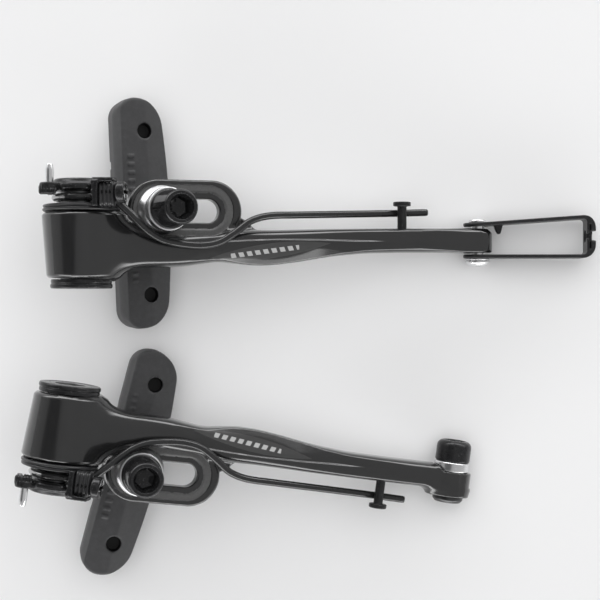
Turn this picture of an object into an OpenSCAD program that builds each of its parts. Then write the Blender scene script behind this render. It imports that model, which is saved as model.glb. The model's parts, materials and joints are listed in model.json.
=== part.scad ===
// V-brake: a pair of linear-pull brake arms with shoes, springs and cable parts.
// Lying outer side up on a table, Z up, millimetres.
// Arm frame: origin on the pivot axis at mid barrel, X to the tip, Y along the
// pivot axis to the frame side, Z outward. The second arm is its mirror image.

/* [Placing] */
// height of the first pivot axis over the table
a_height = 28.23; // [24:0.1:36]
// tip-down tilt of the first arm, degrees
a_tilt = 12.3; // [0:0.1:20]
// first pivot, X
a_x = -62.8; // [-90:0.1:0]
// first pivot, Y
a_y = 25.6; // [0:0.1:60]
// height of the second pivot axis over the table
b_height = 28.45; // [24:0.1:36]
// tip-down tilt of the second arm, degrees
b_tilt = 12.3; // [0:0.1:20]
// second pivot, X
b_x = -67.3; // [-90:0.1:0]
// second pivot, Y
b_y = -23.8; // [-60:0.1:0]
// turn of the second arm seen from above, degrees
b_turn = -7.6; // [-20:0.1:20]

/* [Arm] */
// pivot axis to link pin or cable bolt
arm_reach = 112.0; // [95:0.5:120]
// barrel radius at the spring side
barrel_r_back = 10.7; // [9:0.1:13]
// barrel radius at the front
barrel_r_front = 9.3; // [8:0.1:12]
// barrel front end, Y
barrel_front = -9.2; // [-12:0.1:-6]
// barrel spring-side end, Y
barrel_back = 8.3; // [6:0.1:12]
// shoe slot half width
slot_half = 3.25; // [3:0.05:4]
// shoe stud place in the slot, X
slot_x = 21.2; // [18:0.1:26]
// straight length of the shoe slot
slot_run = 13.9; // [8:0.1:18]
// shoe slot line, Y
slot_y = 9.4; // [7:0.1:12]
// stud distance from the slot's near arc centre
stud_in = 0.8; // [0.6:0.05:2]
// slot plate outer radius
plate_r = 8.4; // [7:0.1:10]
// slot plate thickness
plate_t = 5.0; // [4:0.1:7]
// slot plate middle at the stud, Z
plate_z = -1.0; // [-3:0.1:2]
// lean of the slot plate toward the tip, degrees
plate_lean = 5.0; // [0:0.5:10]
// reach of the web from the plate end along the stem
web_l = 7.3; // [4:0.1:10]
// half width of the track around the slot
track_half = 5.0; // [4:0.1:6]
// depth of the track around the slot
track_depth = 0.6; // [0.2:0.1:1.5]
// tip half height
tip_half = 4.2; // [3.5:0.1:5]
// tip near face, Y
tip_y0 = -1.6; // [-3:0.1:0]
// tip width
tip_w = 6.9; // [5:0.1:9]
// near face of the cable seat, Y
seat_y = 0.2; // [-1:0.1:1]
// width of the cable boss
seat_w = 7.0; // [5:0.1:9]
// radius of the cable boss
seat_r = 4.6; // [4:0.1:6]

/* [Pivot] */
// bore for the frame boss, radius
bore_r = 4.05; // [4:0.01:4.2]
// sleeve radius
sleeve_r = 5.6; // [5:0.1:6.5]
// running gap of turning fits
run_gap = 0.05; // [0.02:0.01:0.1]
// end gap between turning faces
face_gap = 0.3; // [0.2:0.05:0.6]
// front ring radius
cap_r = 8.3; // [7:0.1:10]
// front ring thickness
cap_t = 2.4; // [1.5:0.1:4]
// seal ring radius
seal_r = 10.4; // [8:0.1:12]
// seal ring thickness
seal_t = 2.0; // [1:0.1:3]
// holder plate near face, Y
holder_y = 14.1; // [13:0.1:16]
// holder plate thickness
holder_t = 1.8; // [1:0.1:3]
// holder disc radius
holder_r = 8.2; // [7:0.1:10]
// raised collar radius on the holder
collar_r = 6.4; // [6:0.1:8]
// raised collar height on the holder
collar_h = 1.4; // [0.5:0.1:3]
// step of the holder's hole over the bore
bore_step = 0.5; // [0.2:0.1:1]
// stopper pin, X
stop_x = -8.7; // [-10:0.1:-7]
// stopper pin, Z
stop_z = 6.5; // [4:0.1:8]
// stopper pin radius
stop_r = 1.05; // [0.8:0.05:1.5]
// gap round the pin's riveted root
seat_gap = 0.02; // [0.01:0.01:0.05]
// stopper pin free length beyond the holder
stop_free = 5.0; // [3:0.1:8]

/* [Tension screw] */
// screw axis start, X
ten_x = 3.4; // [2:0.1:6]
// screw axis height, Z
ten_z = 10.2; // [9:0.1:12]
// screw axis, Y
ten_y = 13.2; // [12:0.1:15]
// rise of the screw axis, degrees
ten_rise = 20.0; // [0:1:45]
// screw shank radius
ten_r = 1.2; // [1:0.05:2]
// screw head radius
ten_head_r = 2.9; // [2:0.1:4]
// height of the holder's tabs
tab_h = 5.5; // [4:0.1:7]
// width of the holder's left tab
tab_w = 4.6; // [3:0.1:6]
// screw head thickness
ten_head_t = 2.4; // [1:0.1:4]
// block length along the screw
block_l = 4.4; // [3:0.1:6]
// block width
block_w = 6.6; // [5:0.1:7]
// lug width
lug_w = 4.9; // [4:0.1:6]
// block height
block_h = 3.4; // [3:0.1:5]
// rib pitch on the block
rib_pitch = 1.1; // [0.8:0.05:1.5]
// lug thickness
lug_t = 1.4; // [1:0.1:2.5]

/* [Spring] */
// wire radius
wire_r = 1.0; // [0.7:0.05:1.3]
// coil mean radius
coil_r = 6.95; // [6.5:0.05:8]
// coil plane, Y
coil_y = 12.35; // [11:0.05:14]
// hook pin distance back from the tip axis
hook_back = 23.0; // [17:0.5:32]
// hook pin, Z
hook_z = 2.0; // [0:0.1:3]
// hook pin radius
hook_r = 1.3; // [1:0.05:2]
// hook pin reach, Y
hook_y = 11.3; // [9:0.1:14]
// hook pin depth in the arm
hook_deep = 3.0; // [2:0.1:4]
// hook pin head radius
hook_head_r = 2.5; // [2:0.1:4]
// hook pin head thickness
hook_head_t = 1.2; // [0.8:0.1:2]

/* [Shoe] */
// shoe length
shoe_l = 65.0; // [50:0.5:72]
// shoe half width
shoe_half = 7.5; // [6:0.1:9]
// shoe half width on the bowed side
shoe_bow_half = 8.2; // [6:0.1:10]
// radius of the bowed side of the shoe
shoe_bow_r = 200; // [120:5:400]
// shoe thickness
shoe_t = 10.0; // [8:0.1:13]
// shoe corner radius
shoe_corner = 5.0; // [2:0.1:7]
// lean of the first stud against its plate, degrees
a_stud_lean = 7.2; // [-8:0.1:8]
// lean of the second stud against its plate, degrees
b_stud_lean = -3.5; // [-8:0.1:8]
// turn of the first shoe about its stud, degrees
a_swivel = 2.6; // [-12:0.1:12]
// turn of the second shoe about its stud, degrees
b_swivel = 7.2; // [-12:0.1:12]
// shoe back under the ball centre
back_drop = 11.2; // [9:0.1:14]
// stud radius
stud_r = 2.95; // [2.5:0.05:3.2]
// stud top over the ball centre
stud_top = 13.0; // [10:0.1:16]
// backing plate length
backing_l = 54.0; // [40:0.5:60]
// backing plate width
backing_w = 9.0; // [6:0.1:11]
// backing plate thickness
backing_t = 1.6; // [1:0.1:3]
// rubber over the backing plate
cover_t = 3.2; // [2:0.1:5]
// moulding hole spacing from the stud
hole_x = 23.0; // [15:0.5:28]
// moulding hole radius
hole_r = 2.1; // [1:0.1:3]
// water groove width
groove_w = 2.0; // [1:0.1:4]
// water groove depth
groove_d = 1.4; // [0.5:0.1:3]
// water groove spacing
groove_x = 14.0; // [8:0.5:20]

/* [Washers and nut] */
// ball radius of the washer pairs
ball_r = 7.5; // [6.5:0.1:9]
// domed washer radius
dome_r = 6.7; // [5.5:0.1:8]
// domed washer bore radius
dome_bore = 4.2; // [3.5:0.1:5]
// cupped washer radius
cup_r = 5.9; // [5:0.1:7]
// outer cup seat for the nut over the ball centre
nut_seat = 8.0; // [7.5:0.1:9]
// rim level of the cupped washers
cup_low = 4.3; // [3.9:0.1:5]
// nut flange radius
nut_flange_r = 5.5; // [4.5:0.1:6.5]
// nut flange thickness
nut_flange_t = 1.0; // [0.6:0.1:3]
// nut body radius at the flange
nut_base_r = 5.2; // [4:0.05:5.5]
// nut body radius at the top
nut_r = 4.65; // [3.5:0.05:5]
// nut length
nut_l = 10.0; // [6:0.1:12]
// key socket width across flats
key_w = 5.0; // [4:0.1:6]

/* [Cable link] */
// rise of the link against the arm, degrees
link_rise = 14.4; // [0:0.1:20]
// link plate thickness
link_t = 1.2; // [0.8:0.1:2]
// link half height
link_half = 4.0; // [3:0.1:5]
// pin to the link end plate
link_l = 31.5; // [20:0.5:40]
// link side gap to the arm
link_gap = 0.35; // [0.3:0.05:1]
// flare of the far side plate, degrees
link_flare = 4.0; // [0:0.1:8]
// noodle collar radius
noodle_r = 5.4; // [4.5:0.1:6.5]
// noodle collar bore
noodle_bore = 3.0; // [2:0.1:4]
// noodle collar length
noodle_t = 0.6; // [0.5:0.1:4]
// cable gap in the collar
cable_gap = 2.6; // [1.5:0.1:4]
// link pin radius
pin_r = 2.0; // [1.5:0.1:3]
// link pin near head radius
pin_head_r = 3.5; // [2.5:0.1:4]
// link pin near head height
pin_head_h = 2.3; // [1:0.1:4]
// link pin far head radius
pin_far_r = 2.5; // [2.1:0.1:4]
// link pin far head height
pin_far_h = 1.0; // [0.5:0.1:3]

/* [Cable clamp] */
// cable bolt distance back from the tip axis
bolt_back = 2.2; // [0:0.1:6]
// bolt shank radius
bolt_r = 2.45; // [2:0.05:3]
// bolt head radius
bolt_head_r = 4.9; // [4:0.1:6]
// bolt head height
bolt_head_h = 6.0; // [4:0.1:8]
// clamp washer radius
clamp_r = 5.0; // [4:0.1:6]
// clamp washer thickness
clamp_t = 2.8; // [1.5:0.1:4]
// rear insert flange radius
insert_r = 4.3; // [3.5:0.1:5]
// rear insert flange thickness
insert_t = 1.8; // [1:0.1:3]
// rear insert spigot radius
spigot_r = 3.4; // [3:0.1:4]
// rear insert spigot length
spigot_l = 3.5; // [2:0.1:5]

/* [Hidden] */
// circle steps, fine and coarse
fine = 64;
mid = 40;
low = 24;
six = 6;
// overlap that joins two solids, and cut overrun
lap = 0.6;
over = 1;
// derived levels along the pivot axis
cap_y = barrel_front - face_gap - cap_t;
seal_y = barrel_back + face_gap;
block_s = lug_t / 2;
head_s = block_s + block_l + face_gap;
link_near = tip_y0 - link_gap - link_t;
link_far = tip_y0 + tip_w + link_gap;
link_mid = tip_y0 + tip_w / 2 + 1.4;
tip_mid = tip_y0 + tip_w / 2;
block_far = holder_y + holder_t - ten_y;
seat_back = seat_y + seat_w;
bolt_x = arm_reach - bolt_back;
hook_x = arm_reach - hook_back;
notch_x = bolt_x - clamp_r - 0.3;
// barrel to tip stations of the arm: X share of the reach, near Y, far Y, half height
arm_st = [
    [0.030, -8.6, 7.6, 6.6],
    [0.075, -8.5, 7.4, 6.5],
    [0.100, -7.6, 6.6, 6.1],
    [0.125, -6.7, 5.0, 5.8],
    [0.155, -6.3, 3.4, 5.6],
    [0.200, -6.2, 2.6, 5.5],
    [0.250, -5.9, 2.8, 5.4],
    [0.300, -5.0, 3.2, 5.2],
    [0.335, -4.5, 3.5, 5.1],
    [0.375, -5.1, 4.2, 5.0],
    [0.420, -5.6, 4.3, 5.0],
    [0.470, -5.4, 4.3, 4.9],
    [0.530, -4.5, 4.5, 4.8],
    [0.610, -3.0, 4.8, 4.6],
    [0.700, -2.0, 5.0, 4.45],
    [0.800, -1.7, 5.2, 4.3],
    [0.920, -1.6, 5.3, 4.2],
    [1.000, tip_y0, tip_y0 + tip_w, tip_half]];
// section corners round the arm
sec_n = 20;
// squareness of the arm section
sec_p = 0.62;
// spring leg path from the coil top to the free end, relative to the arm frame
leg = [
    [0, coil_y, coil_r],
    [5, coil_y, coil_r],
    [8.2, coil_y - 0.7, coil_r],
    [10.3, coil_y - 2.4, coil_r + 0.1],
    [12.6, 7.8, 7.2],
    [15.5, 4.9, 7.3],
    [18.6, 2.4, 7.4],
    [22, 0.8, 7.3],
    [27, -0.1, 7.2],
    [32, -0.3, 7.1],
    [36.5, 0.6, 6.8],
    [40.5, 3.0, 6.4],
    [44.5, 6.0, 5.3],
    [48, 7.6, 4.3],
    [53, 8.3, 3.4],
    [hook_x - 3, 9.4, hook_z - hook_r - wire_r - 0.1],
    [hook_x, 9.5, hook_z - hook_r - wire_r - 0.1],
    [hook_x + 7.6, 9.8, hook_z - hook_r - wire_r - 0.2]];
coil_from = 20;
coil_steps = 20;
coil_path = [for (i = [0 : coil_steps - 1])
    let (g = coil_from - i * (270 + coil_from) / coil_steps)
    [coil_r * cos(g), coil_y, coil_r * sin(g)]];
spring_path = concat(coil_path, leg);
wire_n = 10;

function unit(v) = v / norm(v);
function sgn_pow(v, p) = sign(v) * pow(abs(v), p);
function arm_ring(s) = [for (i = [0 : sec_n - 1])
    let (g = (i + 0.5) * 360 / sec_n)
    [s[0] * arm_reach,
     (s[1] + s[2]) / 2 + (s[2] - s[1]) / 2 * sgn_pow(cos(g), sec_p),
     s[3] * sgn_pow(sin(g), sec_p)]];
function path_dir(p, i) = i == 0 ? unit(p[1] - p[0])
    : i == len(p) - 1 ? unit(p[i] - p[i - 1])
    : unit(unit(p[i] - p[i - 1]) + unit(p[i + 1] - p[i]));
function side_of(d) = unit(cross(d, [0.02, 1, 0.05]));
function wire_ring(p, i, r) = let (d = path_dir(p, i), u = side_of(d), v = cross(d, u))
    [for (k = [0 : wire_n - 1]) p[i] + r * (cos(k * 360 / wire_n) * u
        + sin(k * 360 / wire_n) * v)];
function skin_faces(m, n, flip) = concat(
    [for (j = [0 : m - 2], i = [0 : n - 1], t = [0, 1])
        let (a = j * n + i, b = j * n + (i + 1) % n, c = a + n, d = b + n,
            f = t == 0 ? [a, b, d] : [a, d, c])
        flip ? [f[2], f[1], f[0]] : f],
    [flip ? [for (i = [0 : n - 1]) i] : [for (i = [n - 1 : -1 : 0]) i]],
    [flip ? [for (i = [n - 1 : -1 : 0]) (m - 1) * n + i]
          : [for (i = [0 : n - 1]) (m - 1) * n + i]]);

// placing of everything on the first arm
module on_a() {
    translate([a_x, a_y, a_height]) rotate([0, a_tilt, 0]) children();
}
// placing of everything on the second arm
module on_b() {
    translate([b_x, b_y, b_height]) rotate([0, 0, b_turn]) rotate([0, b_tilt, 0])
        mirror([0, 1, 0]) children();
}
// cylinder along Y from one level to another
module y_cyl(y0, y1, ra, rb, n) {
    translate([0, y0, 0]) rotate([-90, 0, 0])
        cylinder(h = y1 - y0, r1 = ra, r2 = rb, $fn = n);
}
// ring along Y
module y_ring(y0, y1, r_out, r_in) {
    difference() {
        y_cyl(y0, y1, r_out, r_out, fine);
        y_cyl(y0 - over, y1 + over, r_in, r_in, fine);
    }
}
// frame of the slot plate with its origin at the ball centre
module at_plate() {
    translate([slot_x, slot_y, plate_z]) rotate([0, plate_lean, 0]) children();
}
// frame of the slot, origin at its near arc centre
module at_slot() {
    at_plate() translate([-stud_in, 0, 0]) children();
}
// frame of a shoe stud
module at_stud(lean, turn) {
    at_plate() rotate([0, lean, 0]) rotate([0, 0, turn]) children();
}
// long hole or long plate with round ends along X
module long_round(r, run, z0, z1) {
    translate([0, 0, z0]) cylinder(h = z1 - z0, r = r, $fn = fine);
    translate([run, 0, z0]) cylinder(h = z1 - z0, r = r, $fn = fine);
    translate([0, -r, z0]) cube([run, 2 * r, z1 - z0]);
}
// forged body shared by both arms, before drilling
module arm_blank() {
    rings = [for (s = arm_st) arm_ring(s)];
    y_cyl(barrel_front, barrel_back, barrel_r_front, barrel_r_back, fine);
    polyhedron(points = [for (r = rings, p = r) p],
        faces = skin_faces(len(rings), sec_n, true), convexity = 4);
    at_slot() {
        long_round(plate_r, slot_run + 1, -plate_t / 2, plate_t / 2);
        translate([slot_run + plate_r, 0, -plate_t / 2 + track_depth])
            linear_extrude(height = plate_t - track_depth * 2.4)
                polygon([[-plate_r, 0], [0.3, plate_r * 0.17], [web_l * 0.4, -plate_r * 0.39],
                    [web_l, -plate_r * 0.64], [web_l * 0.8, -plate_r * 0.9], [0, -plate_r]]);
    }
}
// bore, slot, track and hook pin hole of both arms
module arm_cuts() {
    y_cyl(barrel_front - over, barrel_back + over, sleeve_r + run_gap, sleeve_r + run_gap, fine);
    at_slot() long_round(slot_half, slot_run, -plate_t * 2, plate_t * 2);
    at_slot() long_round(track_half, slot_run, plate_t / 2 - track_depth, plate_t * 2);
    at_slot() long_round(dome_r + face_gap, slot_run, plate_t / 2, plate_t * 2);
    at_slot() long_round(dome_r + face_gap, slot_run, -plate_t * 2, -plate_t / 2);
    translate([hook_x, 0, hook_z]) y_cyl(hook_y - hook_l(), hook_y, hook_r, hook_r, low);
}
function hook_l() = hook_y - tip_y0 - tip_w + hook_deep;

module arm_a() {
    color([0.06, 0.06, 0.065]) on_a() difference() {
        union() {
            arm_blank();
            translate([arm_reach, 0, 0]) y_cyl(tip_y0, tip_y0 + tip_w, tip_half, tip_half, mid);
        }
        arm_cuts();
        translate([arm_reach, 0, 0])
            y_cyl(tip_y0 - over, tip_y0 + tip_w + over, pin_r + run_gap, pin_r + run_gap, mid);
    }
}
module arm_b() {
    color([0.06, 0.06, 0.065]) on_b() difference() {
        union() {
            difference() {
                arm_blank();
                translate([notch_x, tip_y0 - over * 2, -tip_half * 2])
                    cube([arm_reach, seat_y - tip_y0 + over * 2, tip_half * 4]);
                translate([bolt_x + 1, tip_y0 - over, -tip_half * 2])
                    cube([arm_reach, tip_w + over * 4, tip_half * 4]);
            }
            translate([bolt_x, 0, 0]) y_cyl(seat_y, seat_back, seat_r, seat_r, mid);
            translate([bolt_x + 1.2, 0, 0]) y_cyl(seat_y, seat_back, seat_r, seat_r, mid);
            translate([bolt_x, seat_y, -seat_r]) cube([1.2, seat_w, seat_r * 2]);
        }
        arm_cuts();
        translate([bolt_x, 0, 0]) {
            y_cyl(seat_y - over, seat_back, bolt_r, bolt_r, mid);
            y_cyl(seat_back - spigot_l, seat_back + over, spigot_r, spigot_r, mid);
        }
    }
}
// hook pin pressed into the arm edge
module hook_pin() {
    translate([hook_x, 0, hook_z]) {
        y_cyl(hook_y - hook_l(), hook_y, hook_r, hook_r, low);
        y_cyl(hook_y, hook_y + hook_head_t, hook_head_r, hook_head_r, low);
    }
}
module hook_pin_a() { color([0.07, 0.07, 0.08]) on_a() hook_pin(); }
module hook_pin_b() { color([0.07, 0.07, 0.08]) on_b() hook_pin(); }

// sleeve that turns in the barrel and takes the frame boss
module pivot_sleeve() {
    y_ring(cap_y, holder_y, sleeve_r, bore_r);
}
module pivot_sleeve_a() { color([0.6, 0.6, 0.62]) on_a() pivot_sleeve(); }
module pivot_sleeve_b() { color([0.6, 0.6, 0.62]) on_b() pivot_sleeve(); }
// ring that closes the barrel at the front
module front_ring() {
    y_ring(cap_y, cap_y + cap_t, cap_r, sleeve_r);
}
module front_ring_a() { color([0.08, 0.08, 0.09]) on_a() front_ring(); }
module front_ring_b() { color([0.08, 0.08, 0.09]) on_b() front_ring(); }
// seal ring between barrel and spring
module seal_ring() {
    y_ring(seal_y, seal_y + seal_t, seal_r, sleeve_r);
}
module seal_ring_a() { color([0.1, 0.1, 0.1]) on_a() seal_ring(); }
module seal_ring_b() { color([0.1, 0.1, 0.1]) on_b() seal_ring(); }

// round wire from the coil over the neck to the hook pin
module return_spring() {
    polyhedron(points = [for (i = [0 : len(spring_path) - 1], q = wire_ring(spring_path, i, wire_r)) q],
        faces = skin_faces(len(spring_path), wire_n, true), convexity = 8);
}
module return_spring_a() { color([0.09, 0.09, 0.1]) on_a() return_spring(); }
module return_spring_b() { color([0.09, 0.09, 0.1]) on_b() return_spring(); }

// frame of the tension screw, X along the screw
module at_screw() {
    translate([ten_x, ten_y, ten_z]) rotate([0, -ten_rise, 0]) children();
}
// stamped plate that holds the spring end, the stopper pin and the screw
module spring_holder() {
    lobe_r = stop_r + 1.5;
    difference() {
        union() {
            y_cyl(holder_y, holder_y + holder_t, holder_r, holder_r, fine);
            y_cyl(holder_y + holder_t, holder_y + holder_t + collar_h, collar_r + 0.8, collar_r, fine);
            translate([stop_x, 0, stop_z]) y_cyl(holder_y, holder_y + holder_t, lobe_r, lobe_r, mid);
            translate([stop_x - tab_w / 2, holder_y, stop_z - tab_h]) cube([tab_w, holder_t, tab_h]);
            translate([stop_x - tab_w / 2, holder_y - lug_t, stop_z - tab_h])
                cube([lug_t, lug_t + holder_t / 2, tab_h - 1]);
            at_screw() translate([-lug_t / 2, holder_y - ten_y, -tab_h]) cube([lug_t, holder_t, tab_h]);
            at_screw() translate([-lug_t / 2, block_far - 0.1 - lug_w, -block_h / 2])
                cube([lug_t, lug_w, block_h + 0.6]);
        }
        y_cyl(holder_y - over, holder_y + holder_t + collar_h + over, bore_r + bore_step, bore_r + bore_step, fine);
        at_screw() translate([-over * 2, 0, 0]) rotate([0, 90, 0])
            cylinder(h = over * 4, r = ten_r + run_gap, $fn = low);
        translate([stop_x, 0, stop_z])
            y_cyl(holder_y - over, holder_y + holder_t + over, stop_root() + seat_gap, stop_root() + seat_gap, low);
    }
}
module spring_holder_a() { color([0.1, 0.1, 0.11]) on_a() spring_holder(); }
module spring_holder_b() { color([0.1, 0.1, 0.11]) on_b() spring_holder(); }
// pin that enters one of the frame's spring holes
module stopper_pin() {
    face = holder_y + holder_t;
    translate([stop_x, 0, stop_z]) {
        y_cyl(holder_y, face, stop_root(), stop_root(), low);
        y_cyl(face, face + stop_free, stop_r, stop_r, low);
    }
}
function stop_root() = stop_r * 0.8;
module stopper_pin_a() { color([0.8, 0.8, 0.82]) on_a() stopper_pin(); }
module stopper_pin_b() { color([0.8, 0.8, 0.82]) on_b() stopper_pin(); }
// ribbed block on the tension screw
module tension_block() {
    ribs = floor(block_l / rib_pitch);
    groove = rib_pitch * 0.45;
    difference() {
        at_screw() difference() {
            translate([block_s, block_far - block_w, -block_h / 2]) cube([block_l, block_w, block_h]);
            for (i = [1 : ribs - 1])
                translate([block_s + i * rib_pitch - groove / 2, -block_w, block_h / 2 - groove])
                    cube([groove, block_w * 2, block_h]);
            translate([block_s - over, 0, 0]) rotate([0, 90, 0])
                cylinder(h = block_l + over * 2, r = ten_r + run_gap, $fn = low);
        }
        y_cyl(barrel_back - over, seal_y + seal_t + face_gap, seal_r + face_gap, seal_r + face_gap, fine);
    }
}
module tension_block_a() { color([0.12, 0.12, 0.12]) on_a() tension_block(); }
module tension_block_b() { color([0.12, 0.12, 0.12]) on_b() tension_block(); }
// screw that sets the spring force
module tension_screw() {
    at_screw() rotate([0, 90, 0]) difference() {
        union() {
            translate([0, 0, -lug_t]) cylinder(h = head_s + lug_t + 0.2, r = ten_r, $fn = low);
            translate([0, 0, head_s]) cylinder(h = ten_head_t, r = ten_head_r, $fn = mid);
        }
        translate([0, 0, head_s + ten_head_t / 2]) cylinder(h = ten_head_t, r = ten_r, $fn = six);
    }
}
module tension_screw_a() { color([0.15, 0.15, 0.16]) on_a() tension_screw(); }
module tension_screw_b() { color([0.15, 0.15, 0.16]) on_b() tension_screw(); }

// stud with its moulded-in plate, origin at the ball centre
module shoe_stud() {
    translate([0, 0, -back_drop - cover_t]) cylinder(h = stud_top + back_drop + cover_t, r = stud_r, $fn = mid);
    translate([-backing_w / 2, -backing_l / 2, -back_drop - cover_t - backing_t])
        cube([backing_w, backing_l, backing_t]);
}
module shoe_stud_a() { color([0.55, 0.55, 0.57]) on_a() at_stud(a_stud_lean, a_swivel) shoe_stud(); }
module shoe_stud_b() { color([0.55, 0.55, 0.57]) on_b() at_stud(b_stud_lean, b_swivel) shoe_stud(); }
// plan outline of the shoe with round corners
module shoe_plan() {
    x0 = -shoe_half + shoe_corner;
    x1 = shoe_bow_half - shoe_corner;
    y = shoe_l / 2 - shoe_corner;
    tall = shoe_t + 2 * over;
    translate([x0, -shoe_l / 2, -shoe_t - over]) cube([x1 - x0, shoe_l, tall]);
    translate([-shoe_half, -y, -shoe_t - over]) cube([shoe_half + shoe_bow_half, 2 * y, tall]);
    for (x = [x0, x1], sy = [-1, 1])
        translate([x, sy * y, -shoe_t - over]) cylinder(h = tall, r = shoe_corner, $fn = mid);
}
// moulded rubber block
module brake_shoe() {
    difference() {
        translate([0, 0, -back_drop]) difference() {
            intersection() {
                shoe_plan();
                translate([shoe_bow_half - shoe_bow_r, 0, -shoe_t - over])
                    cylinder(h = shoe_t + 2 * over, r = shoe_bow_r, $fn = fine * 4);
                rotate([90, 0, 0]) linear_extrude(height = shoe_l + over, center = true)
                    polygon([[-shoe_half + 0.5, -shoe_t], [-shoe_half, -shoe_t * 0.42],
                        [-shoe_half + 1.2, 0], [shoe_half * 0.1, 0],
                        [shoe_bow_half - 0.8, -shoe_t * 0.34], [shoe_bow_half, -shoe_t * 0.5],
                        [shoe_bow_half - 0.5, -shoe_t]]);
            }
            for (s = [-1, 1]) {
                translate([0.5, s * hole_x, -cover_t]) cylinder(h = cover_t + over, r = hole_r, $fn = mid);
                translate([-shoe_half * 2, s * groove_x - groove_w / 2, -shoe_t - over])
                    cube([shoe_half * 4, groove_w, groove_d + over]);
            }
            translate([-shoe_half * 2, -groove_w / 2, -shoe_t - over])
                cube([shoe_half * 4, groove_w, groove_d + over]);
        }
        shoe_stud();
    }
}
module brake_shoe_a() { color([0.16, 0.16, 0.165]) on_a() at_stud(a_stud_lean, a_swivel) brake_shoe(); }
module brake_shoe_b() { color([0.16, 0.16, 0.165]) on_b() at_stud(b_stud_lean, b_swivel) brake_shoe(); }

// domed washer lying flat on the slot plate
module dome_washer() {
    difference() {
        intersection() {
            sphere(r = ball_r, $fn = fine);
            translate([0, 0, plate_t / 2 + run_gap]) cylinder(h = ball_r, r = dome_r, $fn = fine);
        }
        cylinder(h = ball_r * 2, r = dome_bore, $fn = mid);
    }
}
module dome_outer_a() { color([0.75, 0.75, 0.77]) on_a() at_plate() dome_washer(); }
module dome_outer_b() { color([0.75, 0.75, 0.77]) on_b() at_plate() dome_washer(); }
module dome_inner_a() { color([0.75, 0.75, 0.77]) on_a() at_plate() mirror([0, 0, 1]) dome_washer(); }
module dome_inner_b() { color([0.75, 0.75, 0.77]) on_b() at_plate() mirror([0, 0, 1]) dome_washer(); }
// cupped washer that tilts on the dome
module cup_washer(top) {
    difference() {
        translate([0, 0, cup_low]) cylinder(h = top - cup_low, r = cup_r, $fn = fine);
        sphere(r = ball_r + run_gap, $fn = fine);
        cylinder(h = top * 2, r = stud_r, $fn = mid);
    }
}
module cup_outer_a() { color([0.7, 0.7, 0.72]) on_a() at_stud(a_stud_lean, a_swivel) cup_washer(nut_seat); }
module cup_outer_b() { color([0.7, 0.7, 0.72]) on_b() at_stud(b_stud_lean, b_swivel) cup_washer(nut_seat); }
module cup_inner_a() {
    color([0.7, 0.7, 0.72]) on_a() at_stud(a_stud_lean, a_swivel) mirror([0, 0, 1]) cup_washer(back_drop);
}
module cup_inner_b() {
    color([0.7, 0.7, 0.72]) on_b() at_stud(b_stud_lean, b_swivel) mirror([0, 0, 1]) cup_washer(back_drop);
}
// flange nut with a key socket
module shoe_nut() {
    difference() {
        union() {
            translate([0, 0, nut_seat]) cylinder(h = nut_flange_t, r = nut_flange_r, $fn = mid);
            translate([0, 0, nut_seat]) cylinder(h = nut_l, r1 = nut_base_r, r2 = nut_r, $fn = mid);
        }
        translate([0, 0, nut_seat - over]) cylinder(h = stud_top - nut_seat + over, r = stud_r, $fn = mid);
        translate([0, 0, stud_top - 0.01])
            cylinder(h = nut_l, r = key_w / sqrt(3), $fn = six);
    }
}
module shoe_nut_a() { color([0.13, 0.13, 0.14]) on_a() at_stud(a_stud_lean, a_swivel) shoe_nut(); }
module shoe_nut_b() { color([0.13, 0.13, 0.14]) on_b() at_stud(b_stud_lean, b_swivel) shoe_nut(); }

// frame of the cable link, origin on its pin
module at_link() {
    on_a() translate([arm_reach, 0, 0]) rotate([0, -link_rise, 0]) children();
}
// side plate of the link with a round end at the pin
module link_side() {
    rotate([-90, 0, 0]) cylinder(h = link_t, r = link_half, $fn = mid);
    translate([0, 0, -link_half]) cube([link_l, link_t, link_half * 2]);
}
// folded strip that joins the arm to the cable guide
module cable_link() {
    end_far = link_far + link_l * sin(link_flare) + link_t;
    color([0.09, 0.09, 0.095]) at_link() difference() {
        union() {
            translate([0, link_near, 0]) link_side();
            translate([0, link_far, 0]) rotate([0, 0, link_flare]) link_side();
            translate([link_l - link_t, link_near, -link_half])
                cube([link_t * 1.5, end_far - link_near, link_half * 2]);
            translate([link_l, (link_near + end_far) / 2, 0]) rotate([0, 90, 0]) {
                cylinder(h = link_t + noodle_t, r1 = noodle_r, r2 = noodle_r - 0.8, $fn = mid);
            }
        }
        translate([0, 0, 0])
            y_cyl(link_near - over, link_far + over * 3, pin_r, pin_r, mid);
        translate([link_l - over * 3, (link_near + end_far) / 2, 0]) rotate([0, 90, 0])
            cylinder(h = link_l, r = noodle_bore, $fn = mid);
        translate([link_l - over * 3, (link_near + end_far) / 2 - cable_gap / 2, 0])
            cube([link_l, cable_gap, link_half * 3]);
    }
}
// rivet through link and arm tip
module link_pin() {
    far = link_far + link_t + 0.15;
    color([0.72, 0.72, 0.74]) at_link() {
        y_cyl(link_near, far, pin_r, pin_r, mid);
        difference() {
            y_cyl(link_near - pin_head_h, link_near, pin_head_r - 1, pin_head_r, mid);
            y_cyl(link_near - pin_head_h - over, link_near - pin_head_h + 0.6, pin_r * 0.6, pin_r * 0.6, mid);
        }
        y_cyl(far, far + pin_far_h, pin_far_r, pin_far_r - 0.4, mid);
    }
}

// frame of the cable bolt
module at_bolt() {
    on_b() translate([bolt_x, 0, 0]) children();
}
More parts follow.
